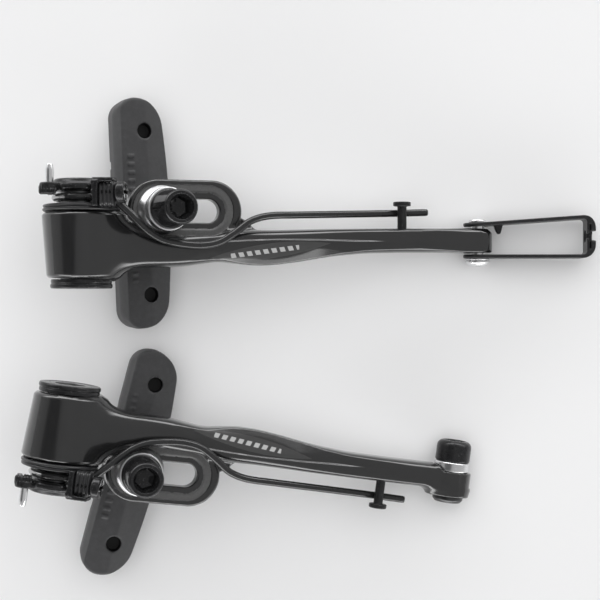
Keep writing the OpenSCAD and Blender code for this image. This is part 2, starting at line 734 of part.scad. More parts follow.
// key bolt that clamps the cable
module clamp_bolt() {
    top = seat_y - clamp_t;
    color([0.06, 0.06, 0.065]) at_bolt() difference() {
        union() {
            y_cyl(top, seat_back + insert_t, bolt_r, bolt_r, mid);
            y_cyl(top - bolt_head_h + 1.2, top, bolt_head_r, bolt_head_r, mid);
            y_cyl(top - bolt_head_h, top - bolt_head_h + 1.2, bolt_head_r - 1.2, bolt_head_r, mid);
        }
        translate([0, top - bolt_head_h - over, 0]) rotate([-90, 0, 0])
            cylinder(h = bolt_head_h / 2 + over, r = key_w / sqrt(3), $fn = six);
    }
}
// washer that presses the cable on its seat
module clamp_washer() {
    color([0.78, 0.78, 0.8]) at_bolt() y_ring(seat_y - clamp_t, seat_y, clamp_r, bolt_r);
}
// threaded insert at the back of the cable boss
module clamp_insert() {
    color([0.35, 0.35, 0.37]) at_bolt() {
        y_ring(seat_back - spigot_l, seat_back, spigot_r, bolt_r);
        y_ring(seat_back, seat_back + insert_t, insert_r, bolt_r);
    }
}

arm_a();
arm_b();
hook_pin_a();
hook_pin_b();
pivot_sleeve_a();
pivot_sleeve_b();
front_ring_a();
front_ring_b();
seal_ring_a();
seal_ring_b();
return_spring_a();
return_spring_b();
spring_holder_a();
spring_holder_b();
stopper_pin_a();
stopper_pin_b();
tension_block_a();
tension_block_b();
tension_screw_a();
tension_screw_b();
brake_shoe_a();
brake_shoe_b();
shoe_stud_a();
shoe_stud_b();
dome_outer_a();
dome_outer_b();
dome_inner_a();
dome_inner_b();
cup_outer_a();
cup_outer_b();
cup_inner_a();
cup_inner_b();
shoe_nut_a();
shoe_nut_b();
cable_link();
link_pin();
clamp_bolt();
clamp_washer();
clamp_insert();
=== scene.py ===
"""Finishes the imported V-brake pair: forged arms, moulded shoes, wire springs, washers, nuts, cable link and clamp.

Each piece is worked out in millimetres in the axes of its own arm (X to the tip, Y along the pivot to the
frame side, Z outward), then placed in the row frame in metres."""

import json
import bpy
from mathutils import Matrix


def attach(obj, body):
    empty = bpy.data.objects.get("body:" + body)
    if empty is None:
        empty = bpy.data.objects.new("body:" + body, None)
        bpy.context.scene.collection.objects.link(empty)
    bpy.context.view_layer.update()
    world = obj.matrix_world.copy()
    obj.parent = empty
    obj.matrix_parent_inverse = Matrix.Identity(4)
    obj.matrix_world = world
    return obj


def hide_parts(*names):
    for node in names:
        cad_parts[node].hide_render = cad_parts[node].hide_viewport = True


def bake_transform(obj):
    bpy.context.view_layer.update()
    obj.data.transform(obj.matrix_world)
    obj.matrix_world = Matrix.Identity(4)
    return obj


bl_info = {
    "name": "V-brake pair",
    "version": (1, 0, 0),
    "blender": (4, 5, 0),
    "location": "View3D > Sidebar > V-brake",
    "description": "Builds the finished surfaces of a pair of linear-pull brake arms on their packed frame",
    "category": "Object",
}

import bmesh
import bpy
import numpy as np
from bpy.props import FloatProperty, FloatVectorProperty, IntProperty, PointerProperty
from mathutils import Matrix, Vector

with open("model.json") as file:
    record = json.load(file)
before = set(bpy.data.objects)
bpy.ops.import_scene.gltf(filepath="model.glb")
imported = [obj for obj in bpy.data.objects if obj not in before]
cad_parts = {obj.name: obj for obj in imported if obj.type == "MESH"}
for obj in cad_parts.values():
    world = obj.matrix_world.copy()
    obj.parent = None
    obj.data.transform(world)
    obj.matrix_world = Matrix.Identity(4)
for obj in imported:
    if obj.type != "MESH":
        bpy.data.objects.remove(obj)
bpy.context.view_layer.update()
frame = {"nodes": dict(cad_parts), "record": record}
MOUNTS = {m["name"]: m for m in frame["record"]["mounts"]}
JOINTS = {j["name"]: j for j in frame["record"]["behaviour"]["joints"]}
SIDES = ("a", "b")

# Sizes shared with the CAD source, in millimetres in the arm's axes.
REACH = 112.0
BOLT_X = 109.8
HOOK = (89.0, 2.0)
SLOT_RUN = 13.9
STUD_IN = 0.8
BACK_DROP = 11.2
COIL_Y = 12.35
COIL_R = 6.95
PLATE_LEAN = 5.0
SHOE_SET = {"a": (7.2, 2.6), "b": (-3.5, 7.2)}
LINK_RISE = 14.4

# Outline of the forged arm: distance from the pivot, near edge, far edge, half height.
ARM_STATIONS = np.array([
    [3.4, -8.6, 7.6, 6.6], [8.4, -8.5, 7.4, 6.5], [11.2, -7.6, 6.6, 6.1], [14.0, -6.7, 5.0, 5.8],
    [17.4, -6.3, 3.4, 5.6], [22.4, -6.2, 2.6, 5.5], [28.0, -5.9, 2.8, 5.4], [33.6, -5.0, 3.2, 5.2],
    [37.5, -4.5, 3.5, 5.1], [42.0, -5.1, 4.2, 5.0], [47.0, -5.6, 4.3, 5.0], [52.6, -5.4, 4.3, 4.9],
    [59.4, -4.5, 4.5, 4.8], [68.3, -3.0, 4.8, 4.6], [78.4, -2.0, 5.0, 4.45], [89.6, -1.7, 5.2, 4.3],
    [103.0, -1.6, 5.3, 4.2], [112.0, -1.6, 5.3, 4.2]])

# Route of the spring's long leg, from the top of its coil to the free end.
SPRING_LEG = np.array([
    [0, COIL_Y, COIL_R], [5, COIL_Y, COIL_R], [8.2, COIL_Y - 0.7, COIL_R], [10.3, COIL_Y - 2.4, 7.05],
    [12.6, 7.8, 7.2], [15.5, 4.9, 7.3], [18.6, 2.4, 7.4], [22, 0.8, 7.3], [27, -0.1, 7.2],
    [32, -0.3, 7.1], [36.5, 0.6, 6.8], [40.5, 3.0, 6.4], [44.5, 6.0, 5.3], [47.4, 7.3, 4.5],
    [50.5, 8.0, 3.85], [54, 8.3, 3.3], [58, 8.42, 2.8], [86, 9.4, -0.4], [89, 9.5, -0.4], [96.6, 9.8, -0.5]])


# ---------------------------------------------------------------- placing

def turn_y(degrees):
    """Matrix that turns X toward minus Z."""
    c, s = np.cos(np.radians(degrees)), np.sin(np.radians(degrees))
    return np.array([[c, 0, s], [0, 1, 0], [-s, 0, c]])


def turn_z(degrees):
    """Matrix that turns X toward Y."""
    c, s = np.cos(np.radians(degrees)), np.sin(np.radians(degrees))
    return np.array([[c, -s, 0], [s, c, 0], [0, 0, 1]])


def arm_axes(side):
    """Axes and origin of one arm, read from its pivot joint, bore mount and tip."""
    origin = np.array(JOINTS["pivot_" + side]["pos_m"]) * 1000
    y = np.array(MOUNTS["pivot_bore_" + side]["axis"])
    tip = JOINTS["link_swing"]["pos_m"] if side == "a" else MOUNTS["cable_clamp"]["pos_m"]
    x = np.array(tip) * 1000 - origin
    x = x - y * (x @ y)
    x = x / np.linalg.norm(x)
    z = np.cross(x, y) if side == "a" else np.cross(y, x)
    return np.column_stack([x, y, z]), origin


def nested(axes, turn, shift=(0, 0, 0)):
    """Axes and origin of a frame turned and shifted inside another one."""
    m, o = axes
    return m @ turn, o + m @ np.array(shift, float)


def plate_axes(side):
    """Axes of the slot plate, with the origin at the centre of the washers' ball."""
    origin = np.array(JOINTS["shoe_turn_" + side]["pos_m"]) * 1000
    return arm_axes(side)[0] @ turn_y(PLATE_LEAN), origin


def stud_axes(side):
    """Axes of the shoe stud: Z along the stud to the nut, Y along the shoe."""
    lean, swivel = SHOE_SET[side]
    return nested(plate_axes(side), turn_y(lean) @ turn_z(swivel))


def screw_axes(side):
    """Axes of the tension screw, X along it."""
    return nested(arm_axes(side), turn_y(-20.0), (3.4, 13.2, 10.2))


def link_axes():
    """Axes of the cable link on its pin."""
    return nested(arm_axes("a"), turn_y(-LINK_RISE), (REACH, 0, 0))


# ---------------------------------------------------------------- mesh making

def quads_of_grid(m, n, wrap_rows=False):
    """Corner numbers of a grid of m rows by n columns whose columns close on themselves."""
    rows = np.arange(m if wrap_rows else m - 1)[:, None]
    cols = np.arange(n)[None, :]
    up, right = (rows + 1) % m, (cols + 1) % n
    return np.stack([rows * n + cols, rows * n + right, up * n + right, up * n + cols], -1).reshape(-1, 4)


def fill_mesh(name, points, quads, axes):
    """Mesh object from points in millimetres in some axes; faces are turned to point outwards."""
    m, o = axes
    world = points.reshape(-1, 3) @ m.T + o
    a, b, c, d = (world[quads[:, k]] for k in range(4))
    volume = np.einsum("ij,ij->i", a, np.cross(b, c)) + np.einsum("ij,ij->i", a, np.cross(c, d))
    if volume.sum() < 0:
        quads = quads[:, ::-1]
    mesh = bpy.data.meshes.new(name)
    mesh.vertices.add(len(world))
    mesh.vertices.foreach_set("co", (world / 1000).ravel())
    mesh.loops.add(quads.size)
    mesh.loops.foreach_set("vertex_index", quads.ravel())
    mesh.polygons.add(len(quads))
    mesh.polygons.foreach_set("loop_start", np.arange(0, quads.size, 4))
    mesh.update(calc_edges=True)
    work = bmesh.new()
    work.from_mesh(mesh)
    bmesh.ops.remove_doubles(work, verts=work.verts, dist=2e-6)
    work.to_mesh(mesh)
    work.free()
    mesh.polygons.foreach_set("use_smooth", np.ones(len(mesh.polygons), bool))
    piece = bpy.data.objects.new(name, mesh)
    bpy.context.scene.collection.objects.link(piece)
    return piece


def eased(profile, radius, closed=False, steps=4):
    """Profile whose corners are rounded: each corner becomes a short curve that starts and ends at most
    radius away from it along its two sides."""
    p = np.array(profile, float)
    n = len(p)
    out = []
    for i in range(n):
        if not closed and i in (0, n - 1):
            out.append(p[i:i + 1])
            continue
        before, here, after = p[i - 1], p[i], p[(i + 1) % n]
        a, b = np.linalg.norm(before - here), np.linalg.norm(after - here)
        r = min(radius, 0.45 * a, 0.45 * b)
        s, e = here + (before - here) / a * r, here + (after - here) / b * r
        t = np.linspace(0, 1, steps + 1)[:, None]
        out.append((1 - t) ** 2 * s + 2 * t * (1 - t) * here + t ** 2 * e)
    return np.vstack(out)


def turned(name, profile, axes, shift=(0, 0, 0), along="y", around=96, closed=False, flats=None):
    """Surface of a profile carried round an axis: radius times the cosine and sine of the angle, at the
    profile's height. Rows in flats take a six-sided radius, the circle's divided by the cosine of the
    angle to the nearest flat's middle."""
    r, h = np.array(profile, float).T
    g = np.linspace(0, 2 * np.pi, around, endpoint=False)[None, :]
    radius = np.repeat(r[:, None], around, 1)
    if flats is not None:
        side = np.cos((g + np.pi / 6) % (np.pi / 3) - np.pi / 6)
        radius = np.where(np.array(flats)[:, None], radius / side, radius)
    u, v, w = radius * np.cos(g), radius * np.sin(g), h[:, None] + 0 * g
    order = {"x": (w, u, v), "y": (u, w, v), "z": (u, v, w)}[along]
    points = np.stack(order, -1) + np.array(shift, float)
    return fill_mesh(name, points, quads_of_grid(len(r), around, closed), axes)


def smooth_route(points, step):
    """Points at even steps along the smooth curve through the given ones: between two points the curve is
    the cubic whose end slopes are half the difference of their neighbours."""
    p = np.vstack([2 * points[0] - points[1], points, 2 * points[-1] - points[-2]])
    t = np.linspace(0, 1, 24, endpoint=False)[None, :, None]
    a, b, c, d = (p[k:len(p) - 3 + k][:, None] for k in range(4))
    curve = 0.5 * (2 * b + (c - a) * t + (2 * a - 5 * b + 4 * c - d) * t ** 2
                   + (3 * b - 3 * c + d - a) * t ** 3)
    curve = np.vstack([curve.reshape(-1, 3), points[-1:]])
    run = np.concatenate([[0], np.cumsum(np.linalg.norm(np.diff(curve, axis=0), axis=1))])
    s = np.linspace(0, run[-1], int(run[-1] / step) + 1)
    return np.column_stack([np.interp(s, run, curve[:, k]) for k in range(3)])


def tube(name, route, radius, axes, around=20):
    """Round wire: circles across a route, in a frame carried along without twist, closed by rounded ends
    whose radius falls as the root of one minus the square of the distance past the end."""
    along = np.gradient(route, axis=0)
    along /= np.linalg.norm(along, axis=1)[:, None]
    side = np.zeros_like(along)
    side[0] = np.cross(along[0], [0.1, 1, 0.2])
    for i in range(1, len(route)):
        side[i] = side[i - 1] - along[i] * (side[i - 1] @ along[i])
        side[i] /= np.linalg.norm(side[i])
    side[0] /= np.linalg.norm(side[0])
    up = np.cross(along, side)
    cap = np.array([1.0, 0.92, 0.7, 0.38])
    bulge = np.sqrt(1 - cap ** 2) * radius * 0.6
    centre = np.vstack([route[0] - along[0] * bulge[:, None], route, route[-1] + along[-1] * bulge[::-1][:, None]])
    pad = lambda q: np.vstack([np.repeat(q[:1], 4, 0), q, np.repeat(q[-1:], 4, 0)])
    size = np.concatenate([np.sqrt(1 - cap ** 2), np.ones(len(route)), np.sqrt(1 - cap[::-1] ** 2)]) * radius
    g = np.linspace(0, 2 * np.pi, around, endpoint=False)[None, :, None]
    points = centre[:, None] + size[:, None, None] * (np.cos(g) * pad(side)[:, None] + np.sin(g) * pad(up)[:, None])
    return fill_mesh(name, points, quads_of_grid(len(centre), around), axes)


def skinned(name, field, low, high, step, axes):
    """Closed surface where a field of distances is nought. The field is taken on a grid; each cell that it
    crosses gets one point, the mean of the crossings on the cell's edges, and each crossed edge a face over
    its four cells. The points then slide down the field's slope onto the surface itself."""
    lines = [np.arange(l, h + step, step) for l, h in zip(low, high)]
    f = field(*np.meshgrid(*lines, indexing="ij"))
    cells = np.array(f.shape) - 1
    total, hits = np.zeros((*cells, 3)), np.zeros(cells)
    found = []
    for a in range(3):
        b, c = (a + 1) % 3, (a + 2) % 3
        turn = np.moveaxis(f, (a, b, c), (0, 1, 2))
        s, e = turn[:-1], turn[1:]
        cross = (s < 0) != (e < 0)
        t = np.where(cross, s / np.where(cross, s - e, 1), 0)
        spot = np.zeros((*cross.shape, 3))
        spot[..., a] = lines[a][:-1, None, None] + t * step
        spot[..., b] = lines[b][None, :, None]
        spot[..., c] = lines[c][None, None, :]
        spot *= cross[..., None]
        sums = np.moveaxis(total, (a, b, c), (0, 1, 2))
        count = np.moveaxis(hits, (a, b, c), (0, 1, 2))
        nb, nc = cross.shape[1] - 1, cross.shape[2] - 1
        for j in (0, 1):
            for k in (0, 1):
                sums += spot[:, j:j + nb, k:k + nc]
                count += cross[:, j:j + nb, k:k + nc]
        i, j, k = np.nonzero(cross[:, 1:-1, 1:-1])
        ring = []
        for dj, dk in ((0, 0), (1, 0), (1, 1), (0, 1)):
            cell = np.zeros((len(i), 3), int)
            cell[:, a], cell[:, b], cell[:, c] = i, j + dj, k + dk
            ring.append(np.ravel_multi_index(cell.T, cells))
        ring = np.stack(ring, -1)
        outward = s[:, 1:-1, 1:-1][i, j, k] < 0
        found.append(np.where(outward[:, None], ring, ring[:, ::-1]))
    live = hits.ravel() > 0
    number = np.cumsum(live) - 1
    points = total.reshape(-1, 3)[live] / hits.ravel()[live][:, None]
    nudge = step * 0.1
    for _ in range(3):
        value = field(*points.T)
        slope = np.stack([(field(*(points + d).T) - field(*(points - d).T)) / (2 * nudge)
                          for d in np.eye(3) * nudge], -1)
        move = slope * (value / np.maximum((slope ** 2).sum(1), 0.2))[:, None]
        points = points - np.clip(move, -0.4 * step, 0.4 * step)
    return fill_mesh(name, points, number[np.vstack(found)], axes)


def join_soft(a, b, k):
    """Union of two fields with a fillet about k wide."""
    h = np.clip(0.5 + 0.5 * (b - a) / k, 0, 1)
    return b * (1 - h) + a * h - k * h * (1 - h)


def meet_soft(a, b, k):
    """Common part of two fields with an edge rounded over about k."""
    return -join_soft(-a, -b, k)


def meet_edge(a, b, flat, k):
    """Inside of both, with the edge cut off by a flat and its corners rounded by k."""
    return meet_soft(meet_soft(a, b, k), (a + b + flat) * 0.7071, k)


def long_round(x, y, run, radius):
    """Distance to a long hole with round ends whose arc centres are 0 and run along X."""
    return np.hypot(x - np.clip(x, 0, run), y) - radius


def into(x, y, z, turn, shift):
    """Coordinates in a frame that is turned and shifted inside the present one."""
    m = turn.T
    p = (x - shift[0], y - shift[1], z - shift[2])
    return tuple(m[k, 0] * p[0] + m[k, 1] * p[1] + m[k, 2] * p[2] for k in range(3))


# ---------------------------------------------------------------- materials

class Term:
    """A shader socket in an expression; the operators add Math nodes."""

    def __init__(self, finish, socket):
        self.finish, self.socket = finish, socket

    def _math(self, kind, first, second):
        return self.finish.node("ShaderNodeMath", {"operation": kind}, {0: first, 1: second})

    def __add__(self, other):
        return self._math("ADD", self, other)

    __radd__ = __add__

    def __mul__(self, other):
        return self._math("MULTIPLY", self, other)

    __rmul__ = __mul__

    def __sub__(self, other):
        return self._math("SUBTRACT", self, other)

    def __rsub__(self, other):
        return self._math("SUBTRACT", other, self)

    def __gt__(self, other):
        return self._math("GREATER_THAN", self, other)

    def __lt__(self, other):
        return self._math("LESS_THAN", self, other)

    def __mod__(self, other):
        return self._math("FLOORED_MODULO", self, other)

    def __abs__(self):
        return self._math("ABSOLUTE", self, 0.0)


class Tree:
    """A node tree that expressions are written into."""

    def __init__(self, tree):
        self.tree = tree

    def node(self, kind, settings=None, inputs=None, out=0):
        """Adds one node: its settings first, then the values or links of its sockets."""
        made = self.tree.nodes.new(kind)
        for key, value in (settings or {}).items():
            if key == "stops":
                ramp = made.color_ramp.elements
                while len(ramp) < len(value):
                    ramp.new(0.5)
                for element, (place, shade) in zip(ramp, value):
                    element.position, element.color = place, (*shade, 1) if len(shade) == 3 else shade
            else:
                setattr(made, key, value)
        for key, value in (inputs or {}).items():
            if isinstance(value, Term):
                self.tree.links.new(value.socket, made.inputs[key])
            else:
                made.inputs[key].default_value = value
        return Term(self, made.outputs[out])

    def split(self, vector):
        """The three parts of a vector."""
        made = self.node("ShaderNodeSeparateXYZ", None, {0: vector}).socket.node
        return [Term(self, part) for part in made.outputs]


class Finish(Tree):
    """A material under construction round one Principled shader."""

    def __init__(self, name, **constants):
        self.material = bpy.data.materials.new(name)
        self.material.use_nodes = True
        super().__init__(self.material.node_tree)
        self.tree.nodes.clear()
        self.shader = self.tree.nodes.new("ShaderNodeBsdfPrincipled")
        output = self.tree.nodes.new("ShaderNodeOutputMaterial")
        self.tree.links.new(self.shader.outputs[0], output.inputs[0])
        for key, value in constants.items():
            self.shader.inputs[key.replace("_", " ")].default_value = value

    def place(self, axes=None):
        """Object coordinates, or the coordinates in some axes in millimetres."""
        spot = self.node("ShaderNodeTexCoord", out="Object")
        if axes is None:
            return spot
        m, o = axes
        flip = -1 if np.linalg.det(m) < 0 else 1
        turn = Matrix((m * np.array([1, flip, 1])).tolist()).to_euler()
        return self.node("ShaderNodeMapping", {"vector_type": "TEXTURE"},
                         {"Vector": spot, "Location": tuple(o / 1000), "Rotation": tuple(turn),
                          "Scale": (0.001, 0.001 * flip, 0.001)})

    def noise(self, where, scale, detail=3.0, rough=0.55):
        """Noise value at a number of features per unit."""
        return self.node("ShaderNodeTexNoise", None,
                         {"Vector": where, "Scale": scale, "Detail": detail, "Roughness": rough})

    def mix(self, mask, first, second):
        """Colour between two colours."""
        return self.node("ShaderNodeMix", {"data_type": "RGBA"}, {"Factor": mask, 6: first, 7: second}, out=2)

    def feed(self, socket, value):
        """Links a value to one of the shader's sockets."""
        self.tree.links.new(value.socket, self.shader.inputs[socket])

    def bump(self, height, strength, distance):
        """Relief of a height field, distance in metres."""
        self.feed("Normal", self.node("ShaderNodeBump", None,
                                      {"Height": height, "Strength": strength, "Distance": distance}))


def shade(value):
    """Neutral colour of one brightness."""
    return (value, value, value, 1)


def paint_finish(name, colour, rough, axes, plate, marks):
    """Gloss black enamel: a little colour drift, patchy gloss, fine orange peel, a rough cast skin on the slot's seat,
    painted light on the label facet, whose lens is painted a lighter grey for the light its tilt catches, and on that
    facet a plain row of pale dashes; marks gives its start, end, half width, pitch and filled share."""
    f = Finish(name, Specular_IOR_Level=0.5, Coat_Roughness=0.05, Coat_IOR=1.5)
    where = f.place()
    drift = f.noise(where, 90.0)
    base = f.mix(drift, tuple(0.75 * c for c in colour) + (1,), tuple(1.35 * c for c in colour) + (1,))
    gloss = rough - 0.07 + 0.14 * f.noise(where, 420.0, 4.0)
    x0, y0, x1, y1, half, pitch, share = marks
    length = float(np.hypot(x1 - x0, y1 - y0))
    c, s = (x1 - x0) / length, (y1 - y0) / length
    x, y, z = f.split(f.place(axes))
    run = (x - x0) * c + (y - y0) * s
    off = (y - y0) * c - (x - x0) * s
    slant = run + off * 0.35
    row = (run > 0.0) * (run < length) * (abs(off) < half) * ((slant % pitch) < pitch * share) * (z > 0.5)
    # painted light: the lens-shaped label facet is painted lighter, standing in for the light its tilt catches
    lens = (abs(y + 8.21 - x * 0.1306) < 2.05 - (x - 51.0) * (x - 51.0) * 0.0071) * (z > 0.5)
    u, v, w = f.split(f.place(plate))
    seat = (abs(abs(w) - 2.1) < 0.22) * (abs(v) < 6.95) * (u > -8.0) * (u < 21.0)
    cast = f.noise(where, 2600.0, 4.0, 0.7)
    skin = f.mix(cast, shade(0.03), shade(0.13))
    # shade(0.034) inside the lens is the facet's painted light
    f.feed("Base Color", f.mix(row, f.mix(seat, f.mix(lens, base, shade(0.034)), skin), shade(0.42)))
    f.feed("Roughness", gloss + row * 0.2 + seat * 0.25)
    f.feed("Coat Weight", 0.6 - seat * 0.5)
    f.bump(f.noise(where, 1500.0, 2.0) + seat * cast * 4.0, 0.10, 0.00004)
    return f.material


def steel_finish(name, colour, rough, grain=900.0, stretch=(1, 1, 1)):
    """Plated or turned steel: fine directional grain in roughness and relief, faint dull patches."""
    f = Finish(name, Metallic=1.0)
    where = f.place()
    lay = f.node("ShaderNodeMapping", {"vector_type": "POINT"}, {"Vector": where, "Scale": stretch})
    fine = f.noise(lay, grain, 3.0, 0.6)
    patch = f.noise(where, 160.0)
    f.feed("Base Color", f.mix(patch, tuple(0.82 * c for c in colour) + (1,), tuple(colour) + (1,)))
    f.feed("Roughness", rough - 0.08 + 0.12 * fine + 0.08 * patch)
    f.bump(fine, 0.12, 0.00003)
    return f.material


def dark_steel_finish(name, colour, rough):
    """Blackened steel: dark, half metallic, with a mottled sheen and rubbed lighter specks."""
    f = Finish(name, Metallic=0.55, Specular_IOR_Level=0.5)
    where = f.place()
    mottle = f.noise(where, 700.0, 5.0, 0.65)
    speck = f.node("ShaderNodeValToRGB", {"stops": [(0.62, (0, 0, 0)), (0.72, (1, 1, 1))]},
                   {0: f.noise(where, 1600.0, 2.0)})
    base = f.mix(mottle, tuple(0.6 * c for c in colour) + (1,), tuple(1.5 * c for c in colour) + (1,))
    f.feed("Base Color", f.mix(speck * 0.12, base, shade(0.35)))
    f.feed("Roughness", rough - 0.1 + 0.2 * mottle)
    f.bump(mottle, 0.15, 0.00004)
    return f.material


def rubber_finish(name, colour, rough, axes):
    """Moulded rubber: dull, with cloudy release marks, tiny pits, a dusty bloom and painted shade in the moulding
    holes.
    """
    f = Finish(name, Specular_IOR_Level=0.4)
    where = f.place()
    u, v, w = f.split(f.place(axes))
    u, v = u - 0.5, abs(v) - 23.0
    # painted shade: inside the moulding holes the rubber is painted near black
    deep = (u * u + v * v < 4.6) * (w < -0.5 - BACK_DROP)
    cloud = f.noise(where, 260.0, 5.0, 0.62)
    bloom = f.node("ShaderNodeValToRGB", {"stops": [(0.45, (0, 0, 0)), (0.75, (1, 1, 1))]},
                   {0: f.noise(where, 620.0, 4.0, 0.7)})
    base = f.mix(cloud, tuple(0.7 * c for c in colour) + (1,), tuple(1.3 * c for c in colour) + (1,))
    top = f.mix(bloom * 0.25, base, tuple(2.0 * c for c in colour) + (1,))
    # shade(0.002) is the painted shade of the holes
    f.feed("Base Color", f.mix(deep, top, shade(0.002)))
    f.feed("Roughness", rough - 0.1 + 0.2 * cloud)
    f.bump(f.noise(where, 2200.0, 3.0) + 0.6 * cloud, 0.35, 0.00005)
    return f.material


def plastic_finish(name, colour, rough):
    """Moulded black plastic with a fine even grain."""
    f = Finish(name, Specular_IOR_Level=0.5)
    where = f.place()
    fine = f.noise(where, 1900.0, 2.0)
    f.feed("Base Color", f.mix(f.noise(where, 300.0), tuple(0.8 * c for c in colour) + (1,), tuple(1.2 * c for c in colour) + (1,)))
    f.feed("Roughness", rough - 0.06 + 0.12 * fine)
    f.bump(fine, 0.2, 0.00003)
    return f.material


def wire_finish(name, colour, rough, axes):
    """Spring wire: black coating with faint lengthwise drawing, and a painted highlight of bright steel on the coil's
    left side only, where light falls on the coil.
    """
    f = Finish(name, Specular_IOR_Level=0.5)
    where = f.place()
    x, y, _ = f.split(f.place(axes))
    # painted highlight: bright metallic steel only on the coil's left side, where light falls on it
    coil = (y > 10.9) * (x < -4.8)
    fine = f.noise(where, 1300.0, 3.0)
    coat = f.mix(fine, tuple(0.7 * c for c in colour) + (1,), tuple(1.4 * c for c in colour) + (1,))
    f.feed("Base Color", f.mix(coil, coat, shade(0.42)))
    f.feed("Metallic", coil * 0.9)
    f.feed("Roughness", rough - 0.05 + 0.1 * fine)
    f.bump(fine, 0.1, 0.00003)
    return f.material


def dress(piece, material, body, nodes=()):
    """Gives a piece its finish, rides it on its body and lets it stand for its CAD nodes."""
    piece.data.materials.clear()
    piece.data.materials.append(material)
    if body:
        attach(piece, body)
    if nodes:
        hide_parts(*nodes)
    return piece


def coat_node(node, material):
    """Better finish for a CAD node that stays."""
    mesh = frame["nodes"][node].data
    mesh.materials.clear()
    mesh.materials.append(material)


# ---------------------------------------------------------------- forms of the arm

def along(x, *pairs):
    """Value that follows given (distance, value) pairs along the arm."""
    table = np.array(pairs, float)
    return np.interp(x, table[:, 0], table[:, 1])


def gently(x, *pairs):
    """The same with its corners rounded over some 8 mm."""
    line = np.linspace(0, 120, 481)
    soft = np.hanning(35)
    values = np.convolve(np.pad(along(line, *pairs), 17, mode="edge"), soft / soft.sum(), mode="valid")
    return np.interp(x, line, values)


def stem_field(x, y, z):
    """Neck and stem: a squarish rounded section that follows the station table. Its top is two nearly flat
    planes that meet in a thin raised crest; the near side is cut by a steep bevel that climbs to the crest,
    and the label facet is one more plane, laid over the corner between top and bevel."""
    line = np.linspace(3.4, REACH, 400)
    soft = np.hanning(29)
    soft /= soft.sum()
    columns = []
    for k in (1, 2, 3):
        raw = np.interp(line, ARM_STATIONS[:, 0], ARM_STATIONS[:, k])
        columns.append(np.convolve(np.pad(raw, 14, mode="edge"), soft, mode="valid"))
    near, far, half = (np.interp(x, line, column) for column in columns)
    mid, wide = (near + far) / 2, (far - near) / 2
    p = 3.2
    around = (np.abs((y - mid) / wide) ** p + np.abs(z / half) ** p) ** (1 / p)
    body = (around - 1) * np.minimum(wide, half)
    crest_y = gently(x, (26, 0.0), (34, 0.6), (41, 1.1), (53, 1.7), (68, 1.6), (75, 1.4), (112, 1.5))
    crest = half + gently(x, (24, 3.0), (36, 0.2), (44, 0.0), (112, 0.0))
    sharp = gently(x, (26, 0), (38, 1), (76, 1), (92, 0))
    fall = gently(x, (36, 0.13), (60, 0.16), (72, 0.32), (92, 0.26), (103, 0.02), (112, 0.02))
    body = meet_soft(body, (y - crest_y) * 0.17 + (z - crest) * 0.985, 0.2)
    body = meet_soft(body, (crest_y - y) * fall + (z - crest - 0.1) * 0.97, 0.1)
    step = 0.7 * sharp * np.clip((crest_y - y) / 0.5 + 0.5, 0, 1)
    body = meet_soft(body, (z - crest + step) * 0.8, 0.03)
    rise = gently(x, (24, -14), (36, -6.6), (44, -4.9), (53.5, -2.7), (60, -1.3), (67, 0.2), (76, -1.5), (112, -9.0))
    level = gently(x, (24, 5.0), (36, 2.2), (44, 2.4), (53.5, 3.3), (60, 3.8), (67, 4.3), (112, 4.2))
    body = meet_soft(body, -(y - rise) * 0.53 + (z - level) * 0.85, 0.12)
    facet_y, facet_z = -3.6 + 0.1306 * (x - 35.3), 4.05 + 0.016 * (x - 35.3)
    deep = 0.75 * np.clip(1 - ((x - 52) / 17) ** 2, -6, 1)
    return meet_soft(body, -(y - facet_y) * 0.4 + (z - facet_z + deep - 0.2) * 0.9165, 0.08)


def plate_coordinates(x, y, z):
    """Coordinates along, across and through the slot plate."""
    return into(x, y, z, turn_y(PLATE_LEAN), (21.2, 9.4, -1.0))


